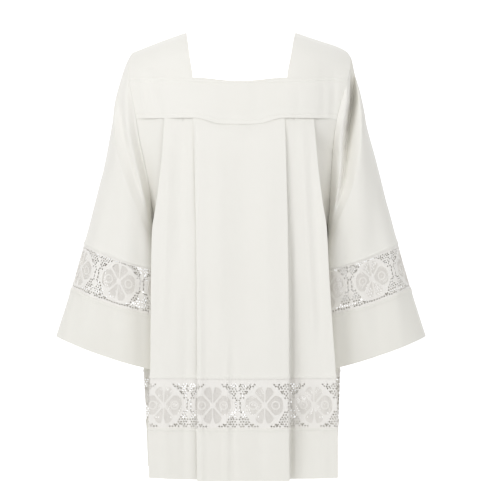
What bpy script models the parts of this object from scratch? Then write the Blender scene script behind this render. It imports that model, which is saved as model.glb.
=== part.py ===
"""A lace-trimmed surplice (cotta): square yoke, pleated body, set-in sleeves, lace bands, hems.

Metres, +Z up. The front faces -Y and +X is the wearer's left. The origin lies midway between
the tops of the shoulders. The cloth is worn, so it stands as a hollow wall that is open at the
neck, the hem and both cuffs.
"""

import math
from typing import NamedTuple

import bmesh
import bpy
import numpy as np

# --- driving dimensions, in metres ---
WALL = 0.0012  # cloth with its felled seams, as one wall
SEAM_GAP = 0.0003  # between pieces that are sewn edge to edge
BENT_SEAM_GAP = 0.0008  # the same where the cloth bends at the seam
ARMHOLE_GAP = 0.0012  # between the yoke or body and the sleeve's head
LAYER = 0.003  # from one pressed layer of a pleat to the next

UNDERARM_Z = -0.415
LACE_TOP_Z = -0.719
LACE_FOOT_Z = -0.820
HEM_Z = -0.927
YOKE_SEAM_Z = -0.185
YOKE_DIP = 0.013  # the yoke seam sags this far at the centre line
YOKE_DIP_FADE = 0.08  # below the seam, the pleats are level again after this drop
BOX_HALF = 0.094  # half the width of the centre box pleat
SHARP_ANGLE = math.radians(50)


class ArmholeStation(NamedTuple):
    """One point of the armhole seam, from the shoulder's end down to the underarm."""

    z: float
    x: float


ARMHOLE_DEPTH = 0.084
ARMHOLE = (
    ArmholeStation(-0.042, 0.2260),
    ArmholeStation(-0.048, 0.2275),
    ArmholeStation(-0.067, 0.2305),
    ArmholeStation(-0.097, 0.2270),
    ArmholeStation(-0.137, 0.2180),
    ArmholeStation(YOKE_SEAM_Z, 0.2070),
    ArmholeStation(-0.232, 0.2000),
    ArmholeStation(-0.279, 0.1930),
    ArmholeStation(-0.323, 0.1880),
    ArmholeStation(-0.361, 0.1850),
    ArmholeStation(-0.390, 0.1830),
    ArmholeStation(-0.409, 0.1810),
    ArmholeStation(UNDERARM_Z, 0.1800),
)
YOKE_STATION = 5  # the armhole station that the yoke seam meets
UNDERARM_STATION = len(ARMHOLE) - 1
LEAN = -0.0095  # the garment hangs this far to the wearer's right, where it does so most
LEAN_Z = -0.190
LEAN_SPREAD = 0.110


class YokeRow(NamedTuple):
    """One row of the yoke, from the shoulder down: the neck side's edge, then the centre."""

    neck_x: float
    neck_depth: float
    neck_z: float
    centre_depth: float
    centre_z: float


NECK_ROW = 3  # the first row that runs across under the neck
STRAP_DEPTH_POWER = 1.6  # how late a strap falls back on its way to the armhole
STRAP_DROP_POWER = 1.1  # how late it drops
CENTRE_BLEND = 1.2  # how soon the band under the neck takes the depth of its corners
YOKE_FRONT = (
    YokeRow(0.1140, 0.000, 0.000, 0.000, 0.000),
    YokeRow(0.1110, 0.050, -0.013, 0.050, -0.013),
    YokeRow(0.1050, 0.087, -0.050, 0.087, -0.050),
    YokeRow(0.0970, 0.101, -0.101, 0.105, -0.1085),
    YokeRow(0.0955, 0.110, -0.143, 0.1135, -0.153),
    YokeRow(BOX_HALF, 0.1163, YOKE_SEAM_Z, 0.120, YOKE_SEAM_Z - YOKE_DIP),
)
YOKE_BACK = (
    YokeRow(0.1140, 0.000, 0.000, 0.000, 0.000),
    YokeRow(0.1130, 0.048, -0.013, 0.048, -0.013),
    YokeRow(0.1090, 0.083, -0.050, 0.083, -0.050),
    YokeRow(0.1030, 0.097, -0.103, 0.100, -0.108),
    YokeRow(0.0980, 0.106, -0.143, 0.109, -0.150),
    YokeRow(BOX_HALF, 0.1113, YOKE_SEAM_Z, 0.115, YOKE_SEAM_Z - YOKE_DIP),
)


class Level(NamedTuple):
    """A level cut through one pleated panel. Depths run out from the plane of the side seams."""

    z: float
    centre: float  # depth at the centre line
    box: float  # depth at the box pleat's edge
    edge_x: float  # the side pleat's edge
    edge: float
    tuck_x: float  # the side pleat's inner fold
    web_x: float  # the side of the body, behind the sleeve
    web: float
    seam_x: float  # the side seam
    open_left: float  # how far the cloth beside the box pleat falls back
    open_right: float
    sway: float  # how far the pleats hang to the wearer's left


BODY_FRONT = (
    #     z              centre  box     edge_x edge   tuck_x web_x  web    seam_x left   right  sway
    Level(YOKE_SEAM_Z,   0.120, 0.1163, 0.154, 0.104, 0.114, 0.162, 0.093, 0.207, 0.000, 0.000, -0.004),
    Level(-0.279,        0.126, 0.1235, 0.161, 0.112, 0.127, 0.160, 0.095, 0.193, 0.003, 0.001, -0.003),
    Level(-0.361,        0.130, 0.128,  0.171, 0.118, 0.140, 0.158, 0.090, 0.185, 0.006, 0.001, -0.003),
    Level(UNDERARM_Z,    0.133, 0.131,  0.179, 0.121, 0.150, 0.155, 0.082, 0.180, 0.008, 0.001, -0.003),
    Level(-0.500,        0.137, 0.135,  0.182, 0.125, 0.160, 0.159, 0.080, 0.163, 0.011, 0.002, -0.002),
    Level(-0.610,        0.142, 0.140,  0.186, 0.129, 0.170, 0.163, 0.070, 0.162, 0.015, 0.003, 0.001),
    Level(LACE_TOP_Z,    0.146, 0.145,  0.190, 0.132, 0.178, 0.168, 0.062, 0.166, 0.018, 0.004, 0.004),
    Level(LACE_FOOT_Z,   0.149, 0.148,  0.194, 0.134, 0.183, 0.186, 0.062, 0.188, 0.021, 0.006, 0.004),
    Level(HEM_Z,         0.151, 0.150,  0.193, 0.135, 0.183, 0.190, 0.064, 0.193, 0.023, 0.008, 0.005),
)
BODY_BACK = (
    #     z              centre  box     edge_x edge   tuck_x web_x  web    seam_x left   right  sway
    Level(YOKE_SEAM_Z,   0.115, 0.1113, 0.156, 0.100, 0.116, 0.162, 0.089, 0.207, 0.000, 0.000, 0.000),
    Level(-0.279,        0.119, 0.1165, 0.166, 0.106, 0.130, 0.160, 0.093, 0.193, 0.001, 0.002, 0.000),
    Level(-0.361,        0.122, 0.120,  0.181, 0.111, 0.147, 0.158, 0.089, 0.185, 0.002, 0.003, 0.000),
    Level(UNDERARM_Z,    0.124, 0.122,  0.192, 0.113, 0.160, 0.155, 0.081, 0.180, 0.003, 0.004, 0.001),
    Level(-0.500,        0.127, 0.125,  0.198, 0.116, 0.170, 0.159, 0.080, 0.163, 0.004, 0.006, 0.001),
    Level(-0.610,        0.131, 0.129,  0.204, 0.120, 0.183, 0.163, 0.070, 0.162, 0.005, 0.008, 0.002),
    Level(LACE_TOP_Z,    0.134, 0.133,  0.211, 0.122, 0.196, 0.168, 0.062, 0.166, 0.006, 0.011, 0.002),
    Level(LACE_FOOT_Z,   0.137, 0.136,  0.207, 0.124, 0.195, 0.186, 0.062, 0.188, 0.008, 0.014, 0.003),
    Level(HEM_Z,         0.138, 0.137,  0.203, 0.125, 0.193, 0.190, 0.064, 0.193, 0.010, 0.016, 0.003),
)
BODY_LOW_Z = (-0.452, -0.500, -0.610, LACE_TOP_Z + SEAM_GAP)

# Stations of a half section, counted from the centre line to the side seam.
BOX_EDGE = 2
UNDER_FOLD = 4
SIDE_START = 6
SIDE_MIDDLE = 7
SIDE_EDGE = 8
TUCK = 11
WEB = 12
SEAM = 13
SWAY_SHARE = (1, 1, 1, 1, 1, 1, 1, 1, 1, 1, 0.8, 0.8, 0.4, 0)
HEM_RISE = (0, 0, 0, 0, 0, 0.001, 0.002, 0.003, 0.005, 0.005, 0.005, 0.005, 0.006, 0.006)

CENTRE_SHARE = 0.4  # how far the box pleat halfway out still follows the centre line
FOLD_SET_IN = 0.0005  # from a fold's outer layer to the one behind it, across
SIDE_SET_OUT = 0.004  # where the cloth comes out from behind the box pleat, beyond its edge
UNDER_FALL = 0.6  # how much of the cloth's fall the layer behind the box pleat takes
SIDE_FALL = 0.25  # the same for the cloth halfway to the side pleat
TUCK_LAYERS = 2.4  # how many layers the side pleat's inner fold lies behind the outer one


class SleeveRing(NamedTuple):
    """A ring round the sleeve: its outermost and innermost points and its half depth."""

    out_x: float
    out_z: float
    in_x: float
    in_z: float
    depth: float
    bow: float  # how far front and back bulge away from the body
    sag: float  # how far front and back hang below the straight line
    trough: float  # the long fold beside the armhole, as a share of each sleeve's fold depth
    lean: float  # how much of the garment's lean it takes
    flat: float  # 1 on a round section, less where front and back are flatter


SLEEVE_RINGS = (
    #          out_x  out_z   in_x   in_z    depth  bow    sag    trough lean  flat
    SleeveRing(0.234, -0.055, 0.1860, -0.418, 0.089, 0.010, 0.000, -0.20, 1.00, 1.00),
    SleeveRing(0.243, -0.085, 0.1890, -0.423, 0.089, 0.014, 0.000, 1.00, 1.20, 1.00),
    SleeveRing(0.252, -0.118, 0.1880, -0.430, 0.089, 0.030, 0.000, -0.10, 0.70, 0.95),
    SleeveRing(0.266, -0.190, 0.1840, -0.442, 0.089, 0.027, 0.000, 0.00, 0.35, 0.88),
    SleeveRing(0.284, -0.270, 0.1790, -0.457, 0.088, 0.019, 0.002, 0.00, 0.00, 0.80),
    SleeveRing(0.305, -0.356, 0.1750, -0.476, 0.087, 0.010, 0.004, 0.00, 0.00, 0.76),
    SleeveRing(0.330, -0.449, 0.1730, -0.500, 0.085, 0.000, 0.006, 0.00, 0.00, 0.72),
    SleeveRing(0.355, -0.535, 0.1720, -0.594, 0.080, 0.000, 0.006, 0.00, 0.00, 0.72),
    SleeveRing(0.387, -0.636, 0.1710, -0.707, 0.073, 0.000, 0.006, 0.00, 0.00, 0.72),
)
LACE_TOP_RING = 6
LACE_FOOT_RING = 7
CUFF_RING = 8
FOLD_DEPTH = {"left": 0.030, "right": 0.007}
BACK_FOLD_SHARE = 0.5
RING_STATIONS = 24
FRONT_RING_STATIONS = RING_STATIONS // 2
SLEEVE_LACE_HALVES = ((3, 0), (3, 6), (9, 6), (9, 12))  # each half repeat's border and centre

# --- the lace repeat: an eight-armed star in a roundel, on a band with plain edges ---
BAND_HALF = 0.0505  # half the band's height, in the repeat's own plane
CELL_HALF = 0.047  # half the repeat's width
HUB = 0.008
ROUNDEL_INNER = 0.037
ROUNDEL_OUTER = 0.044
ARM_SPREAD = 9  # degrees to each side of an arm's middle
ARMS = 8
CORNER_TOP = 0.044  # where the gap between two roundels stops below the plain edge
CORNER_BAR = 0.001  # how much lower it stops beside the roundel


def lean_at(z):
    """How far the garment leans to the wearer's left at a height."""
    return LEAN * math.exp(-(((z - LEAN_Z) / LEAN_SPREAD) ** 2))


def armhole(station, facing, hand):
    """A point of an armhole seam, mirrored to the left where it is the right one.

    Facing is -1 on the front and 1 on the back; hand is 1 on the left and -1 on the right.
    """
    here = ARMHOLE[station]
    middle = (ARMHOLE[0].z + UNDERARM_Z) / 2
    share = (here.z - middle) / (ARMHOLE[0].z - middle)
    depth = ARMHOLE_DEPTH * math.sqrt(max(0.0, 1 - share * share))
    return np.array((here.x + hand * lean_at(here.z), facing * depth, here.z))


def level_at(levels, z):
    """The panel's level at any height between its tabled ones."""
    heights = [-level.z for level in levels]
    return Level(*(float(np.interp(-z, heights, column)) for column in zip(*levels)))


def yoke_dip(across):
    """How far the yoke seam sags, across a panel's own width."""
    share = min(abs(across) / BOX_HALF, 1.0)
    return YOKE_DIP * math.cos(share * math.pi / 2) ** 2


def half_section(levels, z, hand):
    """The stations of a half section as (x, depth), for the left (hand 1) or right (-1) half."""
    level = level_at(levels, z)
    opened = level.open_left if hand > 0 else level.open_right

    def depth(x):
        return float(np.interp(x, (BOX_HALF, level.edge_x), (level.box, level.edge)))

    inner = level.box - LAYER - UNDER_FALL * opened
    middle_x = (BOX_HALF + level.edge_x) / 2
    tuck = depth(level.tuck_x) - TUCK_LAYERS * LAYER
    stations = (
        (0.0, level.centre),
        (BOX_HALF / 2, level.centre * CENTRE_SHARE + level.box * (1 - CENTRE_SHARE)),
        (BOX_HALF, level.box),
        (BOX_HALF - FOLD_SET_IN, level.box - LAYER),
        (BOX_HALF / 2, inner),
        (BOX_HALF / 2, inner - LAYER),
        (BOX_HALF + SIDE_SET_OUT, level.box - 2 * LAYER - opened),
        (middle_x, depth(middle_x) - LAYER - SIDE_FALL * opened),
        (level.edge_x, level.edge),
        (level.edge_x - FOLD_SET_IN, level.edge - LAYER),
        (level.tuck_x, tuck),
        (level.tuck_x, tuck - LAYER),
        (level.web_x, level.web),
        (level.seam_x, BENT_SEAM_GAP / 2),
    )
    return [
        (hand * x + level.sway * share, depth) for (x, depth), share in zip(stations, SWAY_SHARE)
    ]


def body_row(levels, facing, z, armhole_station=None, rises=(0.0,) * (SEAM + 1)):
    """One row of points across a whole panel, from the right side seam to the left one."""
    fade = max(0.0, 1 - (YOKE_SEAM_Z - z) / YOKE_DIP_FADE)
    across = (0, BOX_HALF / 2, BOX_HALF, BOX_HALF, BOX_HALF / 2, BOX_HALF / 2)
    dips = [fade * yoke_dip(u) for u in across] + [0.0] * (SEAM + 1 - len(across))
    halves = {}
    for hand in (-1, 1):
        points = half_section(levels, z, hand)
        row = [
            np.array((x, facing * depth, z - dip + rise))
            for (x, depth), dip, rise in zip(points, dips, rises)
        ]
        if armhole_station is not None:
            x, y, _ = armhole(armhole_station, facing, hand)
            row[SEAM] = np.array((hand * x, facing * max(abs(y), BENT_SEAM_GAP / 2), z))
        halves[hand] = row
    return halves[-1][:0:-1] + halves[1]


def mesh_object(name, points, faces, material, collection, even=True):
    """An open sheet with a wall's thickness to both sides of it."""
    mesh = bpy.data.meshes.new(name)
    mesh.from_pydata([tuple(point) for point in points], [], faces)
    work = bmesh.new()
    work.from_mesh(mesh)
    bmesh.ops.recalc_face_normals(work, faces=work.faces)
    bmesh.ops.triangulate(work, faces=work.faces)
    work.to_mesh(mesh)
    work.free()
    mesh.materials.append(material)
    mesh.shade_smooth()
    mesh.set_sharp_from_angle(angle=SHARP_ANGLE)
    piece = bpy.data.objects.new(name, mesh)
    collection.objects.link(piece)
    wall = piece.modifiers.new("wall", "SOLIDIFY")
    wall.thickness = WALL
    wall.offset = 0.0
    wall.use_even_offset = even
    return piece


def loft(name, rows, material, collection, closed=False, keep=lambda row, column: True):
    """A sheet through rows with equal numbers of points, left open where keep says no."""
    width = len(rows[0])
    faces = []
    for row in range(len(rows) - 1):
        top, foot = row * width, (row + 1) * width
        for column in range(width if closed else width - 1):
            beside = (column + 1) % width
            if keep(row, column):
                faces.append((top + column, top + beside, foot + beside, foot + column))
    used = sorted({corner for face in faces for corner in face})
    place = {corner: index for index, corner in enumerate(used)}
    flat = [point for row in rows for point in row]
    return mesh_object(
        name,
        [flat[corner] for corner in used],
        [tuple(place[corner] for corner in face) for face in faces],
        material,
        collection,
    )


def make_yoke(name, rows, levels, facing, material, collection):
    """The yoke's front or back: two straps and the band that joins them under the neck."""
    sway = levels[0].sway
    table = []
    for index, row in enumerate(rows):
        halves = {}
        for hand in (-1, 1):
            arm = armhole(index, facing, hand)
            if index == 0:
                arm[1] = facing * BENT_SEAM_GAP / 2
            drift = sway * index / YOKE_STATION
            neck_depth = max(row.neck_depth, BENT_SEAM_GAP / 2)
            neck = np.array((row.neck_x, facing * neck_depth, row.neck_z))
            half = []
            for across in (0, BOX_HALF / 2):
                share = across / BOX_HALF
                z = row.centre_z + (row.neck_z - row.centre_z) * math.sin(share * math.pi / 2) ** 2
                blend = share * CENTRE_BLEND
                depth = row.centre_depth * (1 - blend) + row.neck_depth * blend
                half.append(np.array((hand * share * row.neck_x + drift, facing * depth, z)))
            for share in (0, 1 / 3, 2 / 3, 1):
                bend = np.array((share, share**STRAP_DEPTH_POWER, share**STRAP_DROP_POWER))
                point = neck + (arm - neck) * bend
                half.append(point * (hand, 1, 1) + (drift * (1 - share), 0, 0))
            halves[hand] = half
        table.append(halves[-1][:0:-1] + halves[1])
    middle = len(table[0]) // 2
    return loft(
        name,
        table,
        material,
        collection,
        keep=lambda row, column: row >= NECK_ROW or not middle - 2 <= column < middle + 2,
    )


def make_body(name, levels, facing, material, collection):
    """A pleated panel from the yoke seam, down past the armholes, to the lace."""
    rows = []
    for station in range(YOKE_STATION, UNDERARM_STATION + 1):
        z = ARMHOLE[station].z - (SEAM_GAP if station == YOKE_STATION else 0)
        rows.append(body_row(levels, facing, z, station))
    rows += [body_row(levels, facing, z) for z in BODY_LOW_Z]
    return loft(name, rows, material, collection)


def sleeve_ring(index, hand_name, share=0.0):
    """The points round one ring, outermost first, then down the front and up the back."""
    hand = 1 if hand_name == "left" else -1
    points = []
    low, high = SLEEVE_RINGS[index], SLEEVE_RINGS[min(index + 1, len(SLEEVE_RINGS) - 1)]
    ring = SleeveRing(*(a + (b - a) * share for a, b in zip(low, high)))
    outer = np.array((ring.out_x, 0, ring.out_z))
    inner = np.array((ring.in_x, 0, ring.in_z))
    for station in range(RING_STATIONS):
        turn = 2 * math.pi * station / RING_STATIONS
        facing = -1 if station <= FRONT_RING_STATIONS else 1
        side = abs(math.sin(turn))
        fold = FOLD_DEPTH[hand_name] * (1.0 if facing < 0 else BACK_FOLD_SHARE)
        point = (outer + inner) / 2 + (outer - inner) / 2 * math.cos(turn)
        point[0] += ring.bow * side**2 + hand * ring.lean * lean_at(point[2])
        point[1] = facing * (ring.depth * side**ring.flat - fold * ring.trough * side**3)
        point[2] -= ring.sag * side**2
        points.append(point * (hand, 1, 1))
    return points


def sleeve_head(hand_name):
    """The sleeve's top ring, a seam's gap out from the armhole."""
    hand = 1 if hand_name == "left" else -1
    first = sleeve_ring(0, hand_name)
    head = []
    for station, beyond in enumerate(first):
        facing = -1 if station <= FRONT_RING_STATIONS else 1
        seam = armhole(min(station, RING_STATIONS - station), facing, hand) * (hand, 1, 1)
        away = beyond - seam
        head.append(seam + away * ARMHOLE_GAP / np.linalg.norm(away))
    return head


def make_sleeve(hand_name, material, collection):
    """A set-in sleeve from the armhole to its lace."""
    rings = [sleeve_head(hand_name)]
    rings += [sleeve_ring(index, hand_name) for index in range(LACE_TOP_RING)]
    rings.append(ring_beside_seam(LACE_TOP_RING, hand_name, up=True))
    return loft(f"sleeve_{hand_name}", rings, material, collection, closed=True)


def ring_beside_seam(index, hand_name, up):
    """A ring half a bent seam's gap above or below the one named."""
    ring = SLEEVE_RINGS[index]
    other = SLEEVE_RINGS[index - 1 if up else index + 1]
    length = math.dist((ring.in_x, ring.in_z), (other.in_x, other.in_z))
    gap = BENT_SEAM_GAP / 2 / length
    return sleeve_ring(index - 1, hand_name, 1 - gap) if up else sleeve_ring(index, hand_name, gap)


def make_cuff(hand_name, material, collection):
    """The plain band under the sleeve's lace."""
    rings = [
        ring_beside_seam(LACE_FOOT_RING, hand_name, up=False),
        sleeve_ring(LACE_FOOT_RING, hand_name, 0.5),
        sleeve_ring(CUFF_RING, hand_name),
    ]
    return loft(f"cuff_{hand_name}", rings, material, collection, closed=True)


def ray(angle, radius):
    """A point of the repeat, from its centre; the angle is in degrees from straight up."""
    turn = math.radians(angle)
    return (radius * math.sin(turn), radius * math.cos(turn))


def half_repeat():
    """Half of the lace repeat as polygons of (across, up), with its gaps left out.

    Across is 0 on the repeat's centre line and CELL_HALF on its border.
    """
    step = 360 / ARMS
    rays = [0.0]
    for arm in range(1, ARMS // 2):
        rays += [arm * step - ARM_SPREAD, arm * step + ARM_SPREAD]
    rays = [0.0, ARM_SPREAD, *rays[1:], 180.0 - ARM_SPREAD, 180.0]
    inner = [ray(angle, ROUNDEL_INNER) for angle in rays]
    hub = [ray(angle, HUB) for angle in rays]
    centre = (0.0, 0.0)
    polygons = [(centre, hub[i], hub[i + 1]) for i in range(len(rays) - 1)]
    polygons += [(hub[i], inner[i], inner[i + 1], hub[i + 1]) for i in range(0, len(rays) - 1, 2)]

    for up in (1, -1):

        def place(point, up=up):
            return (point[0], up * point[1])

        edge = [place((BAND_HALF * math.tan(math.radians(a)), BAND_HALF)) for a in rays[:3]]
        corner = place((CELL_HALF, BAND_HALF))
        above = place((CELL_HALF, CORNER_TOP))
        below = place((CELL_HALF, CELL_HALF / math.tan(math.radians(rays[3]))))
        side = place((CELL_HALF, CELL_HALF / math.tan(math.radians(rays[4]))))
        near = place(ray(rays[2], CORNER_TOP / math.cos(math.radians(rays[2])) - CORNER_BAR))
        ring = [place(point) for point in inner[:5]]
        outer = [place(ray(angle, ROUNDEL_OUTER)) for angle in rays[2:4]]
        polygons += [
            (ring[0], edge[0], edge[1], ring[1]),
            (ring[1], edge[1], edge[2], near),
            (ring[1], near, outer[0], ring[2]),
            (ring[2], outer[0], outer[1], ring[3]),
            (near, edge[2], corner, above),
            (ring[3], outer[1], below),
            (ring[3], below, side, ring[4]),
        ]
    mid_side = CELL_HALF / math.tan(math.radians(rays[4]))
    polygons.append((inner[4], (CELL_HALF, mid_side), (CELL_HALF, -mid_side), inner[5]))
    return polygons


def column_levels(polygons, across):
    """The heights at which a repeat's points stand on its centre line or on its border."""
    return sorted({round(v, 6) for polygon in polygons for u, v in polygon if abs(u - across) < 1e-6})


def lace_mesh(name, surface, halves, strips, material, collection):
    """Lace on a surface that takes a station and a height share.

    Halves are pairs of stations, border then centre line. Strips are the plain folds between
    two stations, each with the point column that it joins.
    """
    points, numbers, faces = [], {}, []

    def number(station, up):
        key = (round(station, 5), round(up, 6))
        if key not in numbers:
            numbers[key] = len(points)
            points.append(surface(station, (up + BAND_HALF) / (2 * BAND_HALF)))
        return numbers[key]

    polygons = half_repeat()
    for border, centre in halves:
        for polygon in polygons:
            faces.append([number(centre + (border - centre) * u / CELL_HALF, v) for u, v in polygon])
    columns = {"border": column_levels(polygons, CELL_HALF), "centre": column_levels(polygons, 0.0)}
    for start, end, column in strips:
        levels = columns[column]
        for low, high in zip(levels, levels[1:]):
            faces.append([number(start, low), number(end, low), number(end, high), number(start, high)])
    return mesh_object(name, points, faces, material, collection, even=False)


def make_body_lace(name, levels, facing, material, collection):
    """The lace round the body's front or back, folded with its pleats."""
    top = body_row(levels, facing, LACE_TOP_Z)
    foot = body_row(levels, facing, LACE_FOOT_Z + SEAM_GAP)

    def surface(station, share):
        place = station + SEAM
        low = min(int(math.floor(place)), 2 * SEAM - 1)
        part = place - low
        upper_point = top[low] + (top[low + 1] - top[low]) * part
        lower_point = foot[low] + (foot[low + 1] - foot[low]) * part
        return lower_point + (upper_point - lower_point) * share

    halves, strips = [], []
    for hand in (-1, 1):
        pairs = (
            (0, 1),
            (BOX_EDGE, 1),
            (BOX_EDGE + 1, UNDER_FOLD),
            (SIDE_START, UNDER_FOLD + 1),
            (SIDE_START, SIDE_MIDDLE),
            (SIDE_EDGE, SIDE_MIDDLE),
            (TUCK, WEB),
            (SEAM, WEB),
        )
        halves += [(hand * border, hand * centre) for border, centre in pairs]
        strips.append((hand * BOX_EDGE, hand * (BOX_EDGE + 1), "border"))
        strips.append((hand * UNDER_FOLD, hand * (UNDER_FOLD + 1), "centre"))
        for station in range(SIDE_EDGE, TUCK):
            strips.append((hand * station, hand * (station + 1), "border"))
    return lace_mesh(name, surface, halves, strips, material, collection)


def make_sleeve_lace(hand_name, facing_name, material, collection):
    """The lace round one half of a sleeve, from its outer line to its inner line."""
    top = sleeve_ring(LACE_TOP_RING, hand_name)
    foot = sleeve_ring(LACE_FOOT_RING, hand_name)
    direction = 1 if facing_name == "front" else -1
    facing = -direction

    def surface(station, share):
        low = min(int(math.floor(station)), FRONT_RING_STATIONS - 1)
        part = station - low
        ends = []
        for ring in (foot, top):
            here = ring[direction * low % RING_STATIONS]
            beside = ring[direction * (low + 1) % RING_STATIONS]
            ends.append(here + (beside - here) * part)
        point = ends[0] + (ends[1] - ends[0]) * share
        point[1] = facing * max(abs(point[1]), BENT_SEAM_GAP / 2)
        return point

    name = f"sleeve_lace_{hand_name}_{facing_name}"
    return lace_mesh(name, surface, SLEEVE_LACE_HALVES, [], material, collection)


def make_hem(name, levels, facing, material, collection):
    """The plain band under the body's lace, which carries the pleats on down."""
    rows = [body_row(levels, facing, LACE_FOOT_Z), body_row(levels, facing, HEM_Z, rises=HEM_RISE)]
    return loft(name, rows, material, collection)


def cloth_material(name, colour, roughness):
    """A plain Principled finish."""
    material = bpy.data.materials.new(name)
    material.use_nodes = True
    shader = material.node_tree.nodes["Principled BSDF"]
    shader.inputs["Base Color"].default_value = (*colour, 1.0)
    shader.inputs["Roughness"].default_value = roughness
    shader.inputs["Metallic"].default_value = 0.0
    return material


def main():
    """Builds the surplice's sixteen pieces in one collection."""
    for leftover in list(bpy.data.objects):
        bpy.data.objects.remove(leftover, do_unlink=True)
    collection = bpy.data.collections.new("surplice")
    bpy.context.scene.collection.children.link(collection)
    crepe = cloth_material("ivory_crepe", (0.86, 0.85, 0.81), 0.75)
    hem_crepe = cloth_material("ivory_crepe_hem", (0.85, 0.84, 0.80), 0.75)
    lace = cloth_material("white_lace", (0.90, 0.89, 0.87), 0.80)
    panels = {"front": (YOKE_FRONT, BODY_FRONT, -1), "back": (YOKE_BACK, BODY_BACK, 1)}
    for side, (yoke_rows, levels, facing) in panels.items():
        make_yoke(f"yoke_{side}", yoke_rows, levels, facing, crepe, collection)
        make_body(f"body_{side}", levels, facing, crepe, collection)
        make_body_lace(f"body_lace_{side}", levels, facing, lace, collection)
        make_hem(f"hem_{side}", levels, facing, hem_crepe, collection)
    for hand_name in ("left", "right"):
        make_sleeve(hand_name, crepe, collection)
        for side in panels:
            make_sleeve_lace(hand_name, side, lace, collection)
        make_cuff(hand_name, hem_crepe, collection)


main()
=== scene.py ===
"""Dresses the lace-trimmed surplice: crepe panels, worked lace on net, topstitching and finishes.

Metres, +Z up, the front faces -Y and +X is the wearer's left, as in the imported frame.
"""

import logging
import math
from dataclasses import dataclass, field
from enum import Enum
from typing import Callable, NamedTuple, Sequence

import bmesh
import bpy
import numpy as np
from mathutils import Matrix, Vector

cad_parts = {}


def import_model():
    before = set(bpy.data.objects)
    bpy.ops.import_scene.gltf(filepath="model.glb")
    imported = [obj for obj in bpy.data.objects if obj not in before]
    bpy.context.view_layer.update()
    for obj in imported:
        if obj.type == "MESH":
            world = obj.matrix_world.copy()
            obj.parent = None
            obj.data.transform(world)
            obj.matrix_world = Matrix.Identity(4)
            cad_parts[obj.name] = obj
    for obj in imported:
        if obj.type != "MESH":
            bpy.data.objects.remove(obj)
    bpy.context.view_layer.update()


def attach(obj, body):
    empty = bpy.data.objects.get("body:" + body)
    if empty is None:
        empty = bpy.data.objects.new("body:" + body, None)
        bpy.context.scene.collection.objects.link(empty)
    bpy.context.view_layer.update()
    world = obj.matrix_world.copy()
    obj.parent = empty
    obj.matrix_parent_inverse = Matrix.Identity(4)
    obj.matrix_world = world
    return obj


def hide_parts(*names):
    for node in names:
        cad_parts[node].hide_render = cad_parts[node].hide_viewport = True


LOG = logging.getLogger("surplice")
BODY = "root"

# --- driving dimensions, as in the solids ---
UNDERARM_Z = -0.415
LACE_TOP_Z = -0.719
LACE_FOOT_Z = -0.820
HEM_Z = -0.927
YOKE_SEAM_Z = -0.185
YOKE_DIP = 0.013
BOX_HALF = 0.094
ARMHOLE_DEPTH = 0.084
LEAN = -0.0095  # the garment hangs this far to the wearer's right, where it does so most
LEAN_Z = -0.190
LEAN_SPREAD = 0.110

# --- cloth ---
CREPE_WALL = 0.0009
YOKE_PLY = 1.3  # the yoke's thickness, in walls
BAND_PLY = 1.6  # the hem's and the cuffs'
THREAD_WALL = 0.0010
LAP = 0.0035  # how far the lace runs under the crepe at a sewn edge
LAP_RISE = 0.0011  # how far the crepe stands off the lace there
LAP_WIDTH = 0.005  # the turned edge that makes it do so
LAP_ROWS = (0.0015, 0.003, LAP_WIDTH, LAP_WIDTH + 0.001, LAP_WIDTH + 0.0025)
LAP_PROFILE = ((0, LAP_WIDTH, LAP_WIDTH + 0.0012, 0.018), (1.25, 1.25, 0.75, 0))
STITCH_IN = 0.004  # from a sewn edge to its topstitching
STITCH_LIFT = 0.0001  # how far the stitches stand off the crepe
NET_DROP = 0.0004  # how far the net lies behind the middle of the thread
SAME_POINT = 1e-5  # how near points count as one
TINY = 1e-12  # keeps a division from failing
SHARP_TURN = math.radians(50)  # an edge that turns further than this stays sharp
MOST_AREA = 0.999  # a sheet's area stays under this share of its width times its length
STEP = 1e-3  # from a place to its neighbours, in stations
ROW_CLEAR = 0.0006  # the least distance from one row of a sheet to an extra one
SEAM_CLEAR = 0.0004  # from the yoke seam to the pleats' first row
YOKE_RISE = (  # how far the yoke's foot stands off the pleats, from its right armhole to its left
    (-2, -1.7, -1.45, -1.05, -0.8, -0.1, 0.3, 1, 1.75, 2),
    (0.0004, 0.0006, 0.0011, 0.0013, 0.0008, 0.0007, 0.0011, 0.0014, 0.0016, 0.0006),
)
TUCK = 0.007  # how far the pleats reach up inside the yoke
TUCK_BACK = 0.0030  # and how far back they lean there
PLY = 0.0008  # from layer to layer where the pleats are sewn into the yoke


class Way(Enum):
    """One of two opposite ways, with its word in the names of nodes and its sign on its axis."""

    @property
    def word(self) -> str:
        """Its word in the names of nodes."""
        return self.value[0]

    @property
    def sign(self) -> int:
        """Its direction along its axis, 1 or -1."""
        return self.value[1]


class Side(Way):
    """The garment's front and back, with the direction that each faces along Y."""

    FRONT = ("front", -1)
    BACK = ("back", 1)


class Hand(Way):
    """The wearer's left and right, with the direction of each along X."""

    LEFT = ("left", 1)
    RIGHT = ("right", -1)


def in_metres(kind: type, *rows: Sequence[float]) -> tuple:
    """Rows of a table whose numbers are written in millimetres.

    Args:
        kind: The class of a row.
        rows: Their numbers.

    Returns:
        One object of that class for each row, in metres.
    """
    return tuple(kind(*(number / 1000 for number in row)) for row in rows)


class ArmholeStation(NamedTuple):
    """One point of the armhole seam, from the shoulder's end down to the underarm."""

    z: float
    x: float


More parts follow.
